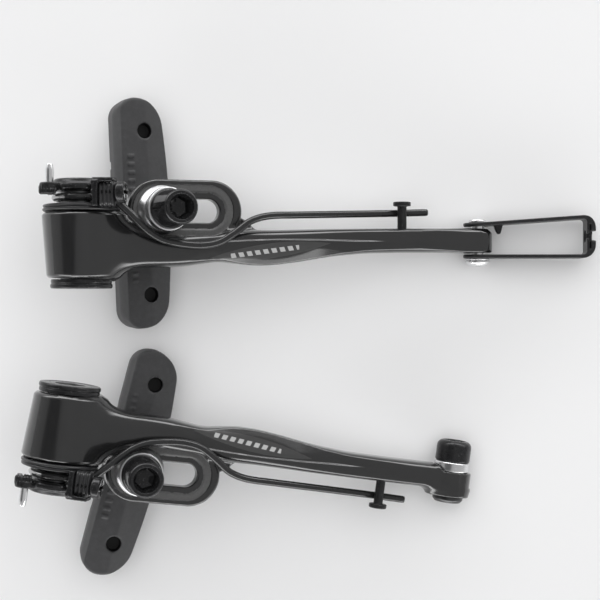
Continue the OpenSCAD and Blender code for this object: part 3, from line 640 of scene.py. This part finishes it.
def arm_field(x, y, z, side):
    """Whole forging: barrel and stem filleted together, the slot plate and the tip filleted on, then the
    slot, its track, the washer seats, the bore and on the second arm the cable seat taken away."""
    bore = np.hypot(x, z)
    barrel = meet_edge(bore - (9.95 + 0.08 * y), np.abs(y + 0.45) - 8.75, 0.7, 0.2)
    end = REACH if side == "a" else 110.0
    stem = np.maximum(stem_field(np.clip(x, 3.4, REACH), y, z), np.maximum(x - end, -x))
    arm = join_soft(barrel, stem, 4.5)
    u, v, w = plate_coordinates(x, y, z)
    ring = long_round(u + STUD_IN, v, SLOT_RUN + 1, 8.4)
    plate = meet_edge(ring, np.abs(w) - 2.5, 0.5, 0.15)
    web = np.maximum.reduce([0.88 * (u - 22.9) + 0.48 * (v - 1.0), -0.45 * (u - 29.0) - 0.89 * (v + 8.5),
                             12.0 - u, 0.42 * (u - 27.5) + 0.91 * (v + 4.0)])
    plate = join_soft(plate, meet_soft(web, np.abs(w + 0.1) - 1.7, 0.5), 0.5)
    arm = join_soft(arm, plate, 1.6)
    if side == "a":
        grow = along(x, (95, -0.8), (107, 0.0))
        tip = meet_soft(np.hypot(np.maximum(x - REACH, 0), z) - 4.2 - grow, np.abs(y - 1.85) - 3.4 - grow, 0.7)
        tip = meet_soft(tip, np.hypot(np.maximum(x - REACH, 0), z) * 0.7 + (y - 1.85) * 0.72 - 4.55, 0.3)
        arm = join_soft(arm, np.maximum(tip, 95 - x), 0.6)
    else:
        notch = meet_soft(0.62 * (y - 0.2) + 0.78 * (106.3 - x), y - 0.2, 0.2)
        arm = meet_soft(arm, -np.minimum(notch, np.maximum(y - 0.2, 107.6 - x)), 0.2)
        boss = np.hypot(x - np.clip(x, BOLT_X, BOLT_X + 1.2), z) - 4.6
        boss = meet_soft(boss, np.abs(y - 3.7) - 3.5, 0.5)
        skirt = np.hypot((x - 109.3) * 0.68, z) - 4.6 + np.maximum(y - 5.4, 0) * 0.2
        skirt = meet_soft(skirt, np.abs(y - 5.9) - 1.3, 0.4)
        arm = join_soft(arm, join_soft(boss, skirt, 0.4), 2.2)
        arm = meet_soft(arm, -meet_soft(np.hypot(x - BOLT_X, z) - 5.5, y - 0.2, 0.15), 0.15)
    ledge = long_round(u + STUD_IN, v, SLOT_RUN, 7.0)
    seat = np.minimum(np.maximum(ledge, 2.2 - w), np.maximum(ledge, 2.2 + w))
    track = np.maximum(long_round(u + STUD_IN, v, SLOT_RUN, 5.0), 1.9 - w)
    slot = long_round(u + STUD_IN, v, SLOT_RUN, 3.25)
    for hollow, edge in ((seat, 0.12), (track, 0.3), (slot, 0.35), (bore - 5.65, 0.6)):
        arm = meet_edge(arm, -hollow, edge, 0.12)
    return arm


def shoe_field(u, v, w):
    """Shoe block: a plan with one straight and one bowed side and round corners, a back of one flat and one
    sloping facet, a slanting side strip, two moulding holes, water grooves and short raised bars."""
    h = w + BACK_DROP
    ends = np.abs(v) - 32.5
    straight = -u - 7.5
    bowed = np.hypot(u + 191.8, v) - 200

    def corner(side, radius):
        a, b = side + radius, ends + radius
        return np.hypot(np.maximum(a, 0), np.maximum(b, 0)) + np.minimum(np.maximum(a, b), 0) - radius

    plan = np.maximum(corner(straight, 5.5), corner(bowed, 7.5))
    draft = plan + 0.05 * np.abs(h + 4.5)
    body = meet_soft(draft, h, 0.9)
    body = meet_soft(body, (u - 0.75) * 0.455 + h * 0.89, 0.25)
    body = meet_soft(body, -(u + 6.3) * 0.961 + h * 0.275, 0.35)
    body = meet_soft(body, -10 - h, 0.8)
    bars = np.abs((v - 11.3) - np.clip(np.round((v - 11.3) / 2.3), -2, 2) * 2.3) - 0.55
    bars = np.maximum(np.maximum(bars, np.abs(u + 4.0) - 1.0), np.abs(h) - 0.35)
    more = np.abs((v + 13.2) - np.clip(np.round((v + 13.2) / 1.9), -3, 3) * 1.9) - 0.4
    more = np.maximum(np.maximum(more, np.abs(u + 4.2) - 0.8), np.abs(h) - 0.22)
    body = join_soft(body, np.minimum(bars, more), 0.12)
    hole = np.hypot(u - 0.5, np.abs(v) - 23) - 2.1 - 0.5 * np.clip(h + 0.5, 0, 1)
    body = meet_soft(body, -np.maximum(hole, -2.9 - h), 0.15)
    groove = np.abs(v - np.clip(np.round(v / 14), -1, 1) * 14) - 1.0
    return meet_soft(body, -np.maximum(groove, h + 8.6), 0.3)


def holder_field(x, y, z):
    """Stamped spring holder: a disc with a raised collar, an ear for the stopper pin with a turned-in lip,
    and a lug folded over to carry the screw."""
    rad = np.hypot(x, z)
    skin = np.abs(y - 15.0) - 0.9
    disc = rad - 8.2
    ear = np.hypot(x + 8.7, z - 6.5) - 2.55
    arm = np.maximum(np.abs(x + 8.7) - 2.3, np.abs(z - 3.75) - 2.75)
    s, t, q = into(x, y, z, turn_y(-20.0), (3.4, 13.2, 10.2))
    leg = np.maximum(np.abs(s) - 0.7, np.abs(q + 1.5) - 4.0)
    flat = join_soft(join_soft(disc, join_soft(ear, arm, 0.6), 1.5), np.maximum(leg, -1 - z), 1.2)
    plate = meet_soft(flat, skin, 0.5)
    collar = meet_soft(rad - 7.9 + 0.5 * (y - 15.9), np.abs(y - 16.1) - 1.2, 0.3)
    lip = np.maximum(np.maximum(np.abs(x + 10.1) - 0.7, np.abs(z - 3.1) - 1.9), np.abs(y - 14.1) - 1.0)
    teeth = meet_soft(np.hypot(x + 8.9, z - 6.3) - 2.4 - 0.22 * np.cos(16 * np.arctan2(z - 6.3, x + 8.9)),
                      np.abs(y - 14.0) - 1.3, 0.8)
    skirt = np.maximum.reduce([np.abs(rad - 8.55) - 0.4, np.abs(y - 13.2) - 1.3, -4.6 - x, x - 1.2, -z])
    fold = np.maximum(np.maximum(np.abs(s) - 0.7, np.abs(t + 0.45) - 3.2), np.abs(q - 0.3) - 2.1)
    wall = np.maximum(np.maximum(np.abs(s - 2.0) - 2.7, np.abs(t - 3.3) - 0.5), np.abs(q + 0.2) - 2.3)
    channel = join_soft(fold, wall, 1.4)
    whole = join_soft(join_soft(plate, collar, 0.5), join_soft(np.minimum(np.minimum(lip, teeth), skirt), channel, 0.2), 0.4)
    ring = np.maximum(rad - 10.75, y - 10.95)
    whole = meet_soft(whole, -ring, 0.2)
    whole = meet_soft(whole, -(rad - 4.55), 0.4)
    whole = meet_soft(whole, -(np.hypot(x + 8.7, z - 6.5) - 0.86), 0.1)
    return meet_soft(whole, -(np.hypot(t, q) - 1.25), 0.15)


def block_field(s, t, q):
    """Ribbed tension block: a rounded bar whose surface rises and falls along the screw, hollowed under its
    near end to clear the seal ring."""
    wave = 0.32 * np.cos(2 * np.pi * (s - 0.7) / 1.1)
    body = meet_soft(np.abs(t + 0.6) - 3.05 + wave * 0.5, np.abs(q) - 1.5 + wave * 0.6, 1.5)
    body = meet_soft(body, np.abs(s - 2.9) - 2.2, 0.4)
    turn = turn_y(-20.0)
    x, y, z = (turn[k, 0] * s + turn[k, 1] * t + turn[k, 2] * q + c for k, c in enumerate((3.4, 13.2, 10.2)))
    body = meet_soft(body, -np.maximum(np.hypot(x, z) - 10.75, y - 10.95), 0.2)
    return meet_soft(body, -(np.hypot(t, q) - 1.25), 0.15)


def screw_field(s, t, q):
    """Tension screw: a shank and a round head with a cross recess."""
    rad = np.hypot(t, q)
    head = meet_soft(rad - 2.9, np.abs(s - 6.6) - 1.2, 0.7)
    shank = meet_soft(rad - 1.2, np.abs(s - 2.3) - 3.7, 0.2)
    deep = np.maximum(6.6 - s, rad - 2.1)
    cross = np.minimum(np.abs(t) - 0.42, np.abs(q) - 0.42)
    return meet_soft(join_soft(head, shank, 0.3), -np.maximum(deep, cross), 0.2)


def link_field(x, y, z):
    """Folded link: two side strips that spread a little and a closed end with round outer corners. Two lips
    curl over the end, with the cable's slit between them, and a small stop hangs from the far strip."""
    near, far = -3.15, 6.95 + 0.07 * np.clip(x, 0, 32)
    mid, wide = (near + far) / 2, (far - near) / 2

    def rounded_end(side_in, end, radius):
        a, b = np.abs(y - mid) - wide + side_in + radius, x - end + radius
        return np.hypot(np.maximum(a, 0), np.maximum(b, 0)) + np.minimum(np.maximum(a, b), 0) - radius

    body = meet_soft(rounded_end(0, 33.2, 3.8), -rounded_end(1.05, 30.6, 1.0), 0.25)
    tall = np.where(x < 0, np.hypot(x, z) - 4.0, np.abs(z) - 4.0 + 0.5 * np.clip(x - 31.6, 0, 2))
    body = meet_soft(body, tall, 0.35)
    seam = np.maximum(np.abs(x - 31.45) - 0.22, np.abs(y - mid) - 3.6)
    body = meet_soft(body, -np.maximum(seam, 2.9 - z), 0.15)
    stop = np.maximum(np.abs(x - 5.85) - 1.1 - 0.25 * (y - 5.7), 3.4 - y)
    stop = meet_soft(stop, np.abs(z - 0.6) - 1.2, 0.3)
    body = join_soft(body, np.maximum(stop, y - 6.6), 0.5)
    tube_y = 3.15
    body = meet_soft(body, -np.maximum(np.hypot(y - tube_y, z) - 3.0, 31.3 - x), 0.25)
    body = meet_soft(body, -(np.hypot(y - tube_y, z) - 1.7), 0.2)
    slit = np.maximum(np.maximum(np.abs(y - tube_y) - 1.25, -z), 31.2 - x)
    body = meet_soft(body, -slit, 0.35)
    fine_slit = np.maximum(np.maximum(np.abs(y - tube_y) - 0.6, -z), 29 - x)
    body = meet_soft(body, -fine_slit, 0.2)
    return meet_soft(body, -(np.hypot(x, z) - 2.0), 0.2)


# ---------------------------------------------------------------- settings

class VBRAKE_PG_paint(bpy.types.PropertyGroup):
    colour: FloatVectorProperty(name="Paint", description="Enamel of the arms", subtype="COLOR",
                                default=(0.009, 0.009, 0.0093), min=0, max=1)
    roughness: FloatProperty(name="Paint roughness", description="Dullness of the enamel", default=0.2,
                             min=0, max=1, subtype="FACTOR")
    skin: FloatProperty(name="Skin step", description="Cell size of the forged surface in millimetres",
                        default=0.32, min=0.3, max=1.0)


class VBRAKE_PG_shoes(bpy.types.PropertyGroup):
    colour: FloatVectorProperty(name="Rubber", description="Colour of the brake shoes", subtype="COLOR",
                                default=(0.045, 0.045, 0.0465), min=0, max=1)
    roughness: FloatProperty(name="Rubber roughness", description="Dullness of the rubber", default=0.55,
                             min=0, max=1, subtype="FACTOR")
    skin: FloatProperty(name="Shoe skin step", description="Cell size of the shoe surface in millimetres",
                        default=0.36, min=0.25, max=1.0)


class VBRAKE_PG_metal(bpy.types.PropertyGroup):
    plated: FloatVectorProperty(name="Plated steel", description="Washers, pins and studs", subtype="COLOR",
                                default=(0.86, 0.86, 0.87), min=0, max=1)
    black: FloatVectorProperty(name="Black steel", description="Nuts, holders, link and bolt", subtype="COLOR",
                               default=(0.02, 0.02, 0.021), min=0, max=1)
    wire: FloatProperty(name="Wire radius", description="Radius of the spring wire in millimetres",
                        default=1.0, min=0.7, max=1.3)
    around: IntProperty(name="Round steps", description="Points round each turned piece", default=96,
                        min=24, max=200)


class VBRAKE_PG_stage(bpy.types.PropertyGroup):
    height: FloatProperty(name="Camera height", description="Distance of the camera over the table",
                          default=0.4, min=0.1, max=2, unit="LENGTH")
    lens: FloatProperty(name="Lens", description="Focal length on a 36 mm wide sensor", default=83.0,
                        min=20, max=200)
    floor: FloatVectorProperty(name="Table", description="Colour of the table", subtype="COLOR",
                               default=(0.86, 0.86, 0.865), min=0, max=1)
    key: FloatProperty(name="Key light", description="Power of the softbox over the table in watts", default=18.0,
                       min=0, max=50)
    fill: FloatProperty(name="Fill light", description="Strength of the white tent round the table", default=5.2,
                        min=0, max=9)


def settings():
    """The four groups of settings of the current scene."""
    s = bpy.context.scene
    return s.vbrake_paint, s.vbrake_shoes, s.vbrake_metal, s.vbrake_stage


# ---------------------------------------------------------------- operators

class VBRAKE_OT_arms(bpy.types.Operator):
    """Skin the two forged arms and paint them"""
    bl_idname = "vbrake.arms"
    bl_label = "Forge arms"

    def execute(self, context):
        paint, _, _, _ = settings()
        for side in SIDES:
            axes = arm_axes(side)
            step = paint.skin * 1
            piece = skinned("arm_form_" + side, lambda x, y, z: arm_field(x, y, z, side),
                            (-12.1, -10.6, -12.1), (118.2, 19.2, 12.1), step, axes)
            marks = (40.0, -3.05, 59.0, -0.5, 0.62, 2.3, 0.6)
            material = paint_finish("arm_enamel_" + side, paint.colour, paint.roughness, axes, plate_axes(side), marks)
            dress(piece, material, "arms", ["arm_" + side])
        return {"FINISHED"}


class VBRAKE_OT_springs(bpy.types.Operator):
    """Bend the two return springs, each laid round its own pivot"""
    bl_idname = "vbrake.springs"
    bl_label = "Bend springs"

    def execute(self, context):
        _, _, metal, _ = settings()
        g = np.radians(np.linspace(20, -255, 40))
        coil = np.column_stack([COIL_R * np.cos(g), np.full(40, COIL_Y), COIL_R * np.sin(g)])
        route = smooth_route(np.vstack([coil, SPRING_LEG]), 0.45)
        for side in SIDES:
            axes = arm_axes(side)
            piece = tube("spring_wire_" + side, route, metal.wire, axes)
            dress(piece, wire_finish("wire_coat_" + side, (0.014, 0.014, 0.0145), 0.16, axes), None,
                  ["return_spring_" + side])
            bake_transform(piece)
        return {"FINISHED"}


class VBRAKE_OT_shoes(bpy.types.Operator):
    """Mould the two rubber shoes"""
    bl_idname = "vbrake.shoes"
    bl_label = "Mould shoes"

    def execute(self, context):
        _, shoes, metal, _ = settings()
        plated = steel_finish("stud_plating", metal.plated, 0.32)
        step = shoes.skin * 1
        for side in SIDES:
            piece = skinned("shoe_form_" + side, shoe_field, (-9, -33.4, -22.2), (9.6, 33.4, -10.2),
                            step, stud_axes(side))
            rubber = rubber_finish("shoe_skin_" + side, shoes.colour, shoes.roughness, stud_axes(side))
            dress(piece, rubber, "shoe_" + side, ["brake_shoe_" + side])
            coat_node("shoe_stud_" + side, plated)
        return {"FINISHED"}


class VBRAKE_OT_washers(bpy.types.Operator):
    """Turn the domed and cupped washers"""
    bl_idname = "vbrake.washers"
    bl_label = "Turn washers"

    def execute(self, context):
        _, _, metal, _ = settings()
        plated = steel_finish("washer_plating", metal.plated, 0.3, 1200.0)
        ball = 7.5
        g = np.linspace(np.arcsin(6.6 / ball), np.arcsin(4.4 / ball), 10)
        dome = np.vstack([[[4.2, 2.55], [6.7, 2.55]], np.column_stack([ball * np.sin(g), ball * np.cos(g)]), [[4.2, 6.1]]])
        inner = np.sqrt(7.55 ** 2 - np.linspace(5.8, 2.95, 9) ** 2)
        bowl = np.column_stack([np.linspace(5.8, 2.95, 9), inner])
        for side in SIDES:
            plate, stud = plate_axes(side), stud_axes(side)
            for part, sign, top in (("outer", 1, 8.0), ("inner", -1, BACK_DROP)):
                flip = np.array([1, sign])
                ring = eased(dome, 0.22, True) * flip
                dress(turned("dome_ring_%s_%s" % (part, side), ring, plate, along="z", closed=True,
                             around=metal.around),
                      plated, "shoe_carrier_" + side, ["dome_%s_%s" % (part, side)])
                cup = np.vstack([bowl, [[2.95, top], [5.9, top], [5.9, 4.95]]])
                dress(turned("cup_ring_%s_%s" % (part, side), eased(cup, 0.3, True) * flip, stud, along="z",
                             closed=True, around=metal.around),
                      plated, "shoe_" + side, ["cup_%s_%s" % (part, side)])
        return {"FINISHED"}


class VBRAKE_OT_nuts(bpy.types.Operator):
    """Turn the tapered shoe nuts with their key sockets"""
    bl_idname = "vbrake.nuts"
    bl_label = "Turn nuts"

    def execute(self, context):
        _, _, metal, _ = settings()
        black = dark_steel_finish("nut_black", metal.black, 0.11)
        outer = eased([[2.95, 8.0], [5.5, 8.0], [5.5, 8.9], [5.15, 9.1], [4.7, 17.4], [4.25, 18.0], [3.45, 18.0],
                       [3.3, 17.7], [3.2, 17.2]], 0.3)
        inner = eased([[2.62, 16.9], [2.55, 14.2], [2.4, 13.9], [1.2, 13.5], [0.0, 13.4]], 0.2)
        profile = np.vstack([outer, inner])
        flats = np.r_[np.zeros(len(outer), bool), np.ones(len(inner), bool)]
        for side in SIDES:
            piece = turned("nut_form_" + side, np.vstack([[[0.0, 8.3]], profile]), stud_axes(side), along="z",
                           around=120, flats=np.r_[False, flats])
            dress(piece, black, "shoe_" + side, ["shoe_nut_" + side])
        return {"FINISHED"}


class VBRAKE_OT_pivots(bpy.types.Operator):
    """Make the pivot rings, stamped holders, pins and tension screws"""
    bl_idname = "vbrake.pivots"
    bl_label = "Dress pivots"

    def execute(self, context):
        _, _, metal, _ = settings()
        black = dark_steel_finish("holder_black", metal.black, 0.24)
        plated = steel_finish("pin_plating", metal.plated, 0.22, 1400.0)
        sleeve = steel_finish("sleeve_turned", tuple(0.3 * c for c in metal.plated), 0.3, 1000.0)
        plastic = plastic_finish("seal_plastic", (0.018, 0.018, 0.019), 0.32)
        n = metal.around
        front = eased([[5.6, -11.9], [7.0, -11.9], [7.2, -12.0], [8.1, -11.9], [8.3, -11.5], [8.3, -10.9],
                       [8.0, -10.6], [8.15, -10.3], [8.1, -9.5], [5.6, -9.5]], 0.18, True)
        seal = eased([[5.6, 8.6], [10.0, 8.6], [10.4, 9.0], [10.4, 9.35], [9.9, 9.6], [10.3, 9.9],
                      [10.2, 10.4], [9.4, 10.6], [5.6, 10.6]], 0.2, True)
        tube_wall = eased([[4.05, -11.9], [5.6, -11.9], [5.6, 14.1], [4.05, 14.1]], 0.2, True)
        pin = eased([[0, 14.1], [0.84, 14.1], [0.84, 15.9], [1.05, 15.9], [1.05, 19.4], [0.75, 20.9], [0, 20.9]], 0.3)
        step = 0.3 * 1
        for side in SIDES:
            arm, body = arm_axes(side), "pivot_set_" + side
            dress(turned("front_ring_form_" + side, front, arm, closed=True, around=n), black, body,
                  ["front_ring_" + side])
            dress(turned("seal_form_" + side, seal, arm, closed=True, around=n), plastic, body,
                  ["seal_ring_" + side])
            dress(turned("sleeve_form_" + side, tube_wall, arm, closed=True, around=n), sleeve, body,
                  ["pivot_sleeve_" + side])
            dress(turned("stopper_form_" + side, pin, arm, (-8.7, 0, 6.5), around=32), plated, body,
                  ["stopper_pin_" + side])
            dress(skinned("holder_form_" + side, holder_field, (-12.6, 8.6, -9.2), (9.2, 18.0, 15.5), step, arm),
                  black, body, ["spring_holder_" + side])
            screw = screw_axes(side)
            dress(skinned("block_form_" + side, block_field, (0.2, -4.4, -2.4), (5.6, 3.6, 2.4), step * 0.8, screw),
                  plastic, body, ["tension_block_" + side])
            dress(skinned("screw_form_" + side, screw_field, (-1.9, -3.4, -3.4), (8.3, 3.4, 3.4), step * 0.7, screw),
                  black, "screw_" + side, ["tension_screw_" + side])
        return {"FINISHED"}


class VBRAKE_OT_hook_pins(bpy.types.Operator):
    """Turn the headed pins that the springs hook behind"""
    bl_idname = "vbrake.hook_pins"
    bl_label = "Turn hook pins"

    def execute(self, context):
        _, _, metal, _ = settings()
        black = dark_steel_finish("hook_pin_black", metal.black, 0.3)
        profile = eased([[0, 2.6], [1.3, 2.6], [1.3, 11.3], [2.5, 11.35], [2.5, 12.5], [0, 12.6]], 0.3)
        for side in SIDES:
            piece = turned("hook_form_" + side, profile, arm_axes(side), (HOOK[0], 0, HOOK[1]), around=40)
            dress(piece, black, "arms", ["hook_pin_" + side])
        return {"FINISHED"}


class VBRAKE_OT_link(bpy.types.Operator):
    """Fold the cable link and turn its pin"""
    bl_idname = "vbrake.link"
    bl_label = "Fold link"

    def execute(self, context):
        _, _, metal, _ = settings()
        axes = link_axes()
        black = dark_steel_finish("link_black", metal.black, 0.36)
        bright = steel_finish("rivet_plating", metal.plated, 0.2, 1500.0)
        step = 0.34 * 1
        dress(skinned("link_form", link_field, (-5, -4.2, -5.2), (34.4, 10.6, 5.2), step, axes), black, "link",
              ["cable_link"])
        pin = eased([[0, -4.9], [0.9, -4.9], [1.6, -5.45], [2.5, -5.3], [3.4, -4.5], [3.5, -3.9], [3.1, -3.75],
                     [3.45, -3.6], [3.45, -3.15], [2.0, -3.15], [2.0, 7.0], [2.5, 7.0], [2.45, 7.7], [2.0, 8.0],
                     [0, 8.05]], 0.25)
        dress(turned("rivet_form", pin, axes, around=64), bright, "link", ["link_pin"])
        return {"FINISHED"}


class VBRAKE_OT_clamp(bpy.types.Operator):
    """Turn the cable bolt, its washer and the rear insert"""
    bl_idname = "vbrake.clamp"
    bl_label = "Turn clamp"

    def execute(self, context):
        _, _, metal, _ = settings()
        axes = arm_axes("b")
        at = (BOLT_X, 0, 0)
        black = dark_steel_finish("bolt_black", metal.black, 0.28)
        plated = steel_finish("clamp_plating", (0.8, 0.8, 0.81), 0.24, 1200.0)
        dull = steel_finish("insert_dull", tuple(0.1 * c for c in metal.plated), 0.3)
        g = np.linspace(0, np.pi / 2, 8)
        dome = np.column_stack([3.1 + 1.8 * np.cos(g), -6.8 - 1.8 * np.sin(g)])
        round_part = np.vstack([eased([[0, 9.0], [2.45, 9.0], [2.45, -2.6], [4.6, -2.6], [4.9, -2.95], [4.9, -6.6]],
                                      0.3), dome[1:], [[3.0, -8.45]]])
        socket = eased([[2.6, -8.2], [2.5, -6.0], [0, -5.6]], 0.2)
        flats = np.r_[np.zeros(len(round_part), bool), np.ones(len(socket), bool)]
        dress(turned("bolt_form", np.vstack([round_part, socket]), axes, at, around=96, flats=flats), black, "arms",
              ["clamp_bolt"])
        washer = eased([[2.45, 0.2], [4.6, 0.2], [5.0, -0.1], [5.0, -2.3], [4.7, -2.6], [2.45, -2.6]], 0.25, True)
        dress(turned("clamp_ring_form", washer, axes, at, closed=True), plated, "arms", ["clamp_washer"])
        insert = eased([[2.45, 3.7], [3.4, 3.7], [3.4, 7.2], [4.3, 7.2], [4.3, 8.2], [3.6, 9.0], [2.45, 9.0]], 0.25,
                       True)
        dress(turned("insert_form", insert, axes, at, closed=True), dull, "arms", ["clamp_insert"])
        return {"FINISHED"}


class VBRAKE_OT_stage(bpy.types.Operator):
    """Lay the pale table, hang the softbox, light the white tent round it and set the camera over the brake"""
    bl_idname = "vbrake.stage"
    bl_label = "Set stage"

    def execute(self, context):
        _, _, _, stage = settings()
        scene = bpy.context.scene
        bpy.ops.mesh.primitive_plane_add(size=6, location=(0, 0, -0.0002))
        table = bpy.context.object
        table.name = "table"
        f = Finish("table_top", Specular_IOR_Level=0.2, Roughness=0.75)
        f.feed("Base Color", f.mix(f.noise(f.place(), 6.0), tuple(stage.floor) + (1,),
                                   tuple(0.985 * c for c in stage.floor) + (1,)))
        table.data.materials.append(f.material)
        light = bpy.data.lights.new("softbox", "AREA")
        light.shape, light.size, light.size_y, light.energy = "RECTANGLE", 2.2, 2.0, stage.key
        lamp = bpy.data.objects.new("softbox", light)
        scene.collection.objects.link(lamp)
        lamp.location = (-0.1, 0.3, 1.1)
        lamp.visible_glossy = False
        lamp.rotation_euler = (-Vector(lamp.location)).to_track_quat("-Z", "Y").to_euler()
        scene.world = bpy.data.worlds.new("studio")
        scene.world.use_nodes = True
        tent = Tree(scene.world.node_tree)
        x, y, z = tent.split(tent.node("ShaderNodeTexCoord", out="Generated"))
        walls = tent.node("ShaderNodeValToRGB", {"stops": [(0.0, shade(0.9)), (0.28, shade(1.0)), (0.42, shade(0.0))]},
                          {0: z})
        sides = tent.node("ShaderNodeValToRGB", {"stops": [(0.35, shade(0.0)), (0.75, shade(1.0))]}, {0: abs(y)})
        patch = tent.node("ShaderNodeValToRGB", {"stops": [(0.7, shade(1.0)), (0.88, shade(0.9)), (0.94, shade(0.2))]},
                          {0: z * 0.866 - x * 0.5})
        back = tent.tree.nodes["Background"]
        dull = tent.node("ShaderNodeLightPath", out="Is Diffuse Ray")
        tent.tree.links.new(((walls * sides + 0.095) * patch * (1 - dull * 0.6) * stage.fill).socket, back.inputs[1])
        back.inputs[0].default_value = (1, 1, 1, 1)
        lens = bpy.data.cameras.new("overhead")
        lens.sensor_width, lens.lens = 36.0, stage.lens
        lens.clip_start, lens.clip_end = 0.01, 50
        camera = bpy.data.objects.new("overhead", lens)
        scene.collection.objects.link(camera)
        camera.location = (-0.00407, 0.01058, stage.height)
        scene.camera = camera
        scene.view_settings.view_transform = "Standard"
        return {"FINISHED"}


OPERATORS = (VBRAKE_OT_arms, VBRAKE_OT_springs, VBRAKE_OT_shoes, VBRAKE_OT_washers, VBRAKE_OT_nuts,
             VBRAKE_OT_pivots, VBRAKE_OT_hook_pins, VBRAKE_OT_link, VBRAKE_OT_clamp, VBRAKE_OT_stage)
GROUPS = {"vbrake_paint": VBRAKE_PG_paint, "vbrake_shoes": VBRAKE_PG_shoes, "vbrake_metal": VBRAKE_PG_metal,
          "vbrake_stage": VBRAKE_PG_stage}


class VBRAKE_PT_panel(bpy.types.Panel):
    """Lists the making steps and their settings"""
    bl_idname = "VBRAKE_PT_panel"
    bl_label = "V-brake"
    bl_space_type = "VIEW_3D"
    bl_region_type = "UI"
    bl_category = "V-brake"

    def draw(self, context):
        for operator in OPERATORS:
            self.layout.operator(operator.bl_idname)
        for group, kind in GROUPS.items():
            for key in kind.__annotations__:
                self.layout.prop(getattr(context.scene, group), key)


def register():
    for name, kind in GROUPS.items():
        bpy.utils.register_class(kind)
        setattr(bpy.types.Scene, name, PointerProperty(type=kind))
    for kind in OPERATORS + (VBRAKE_PT_panel,):
        bpy.utils.register_class(kind)


def unregister():
    for kind in reversed(OPERATORS + (VBRAKE_PT_panel,)):
        bpy.utils.unregister_class(kind)
    for name, kind in GROUPS.items():
        delattr(bpy.types.Scene, name)
        bpy.utils.unregister_class(kind)


def main():
    """Makes every piece in order."""
    register()
    for operator in OPERATORS:
        group, name = operator.bl_idname.split(".")
        getattr(getattr(bpy.ops, group), name)()


if __name__ == "__main__":
    main()
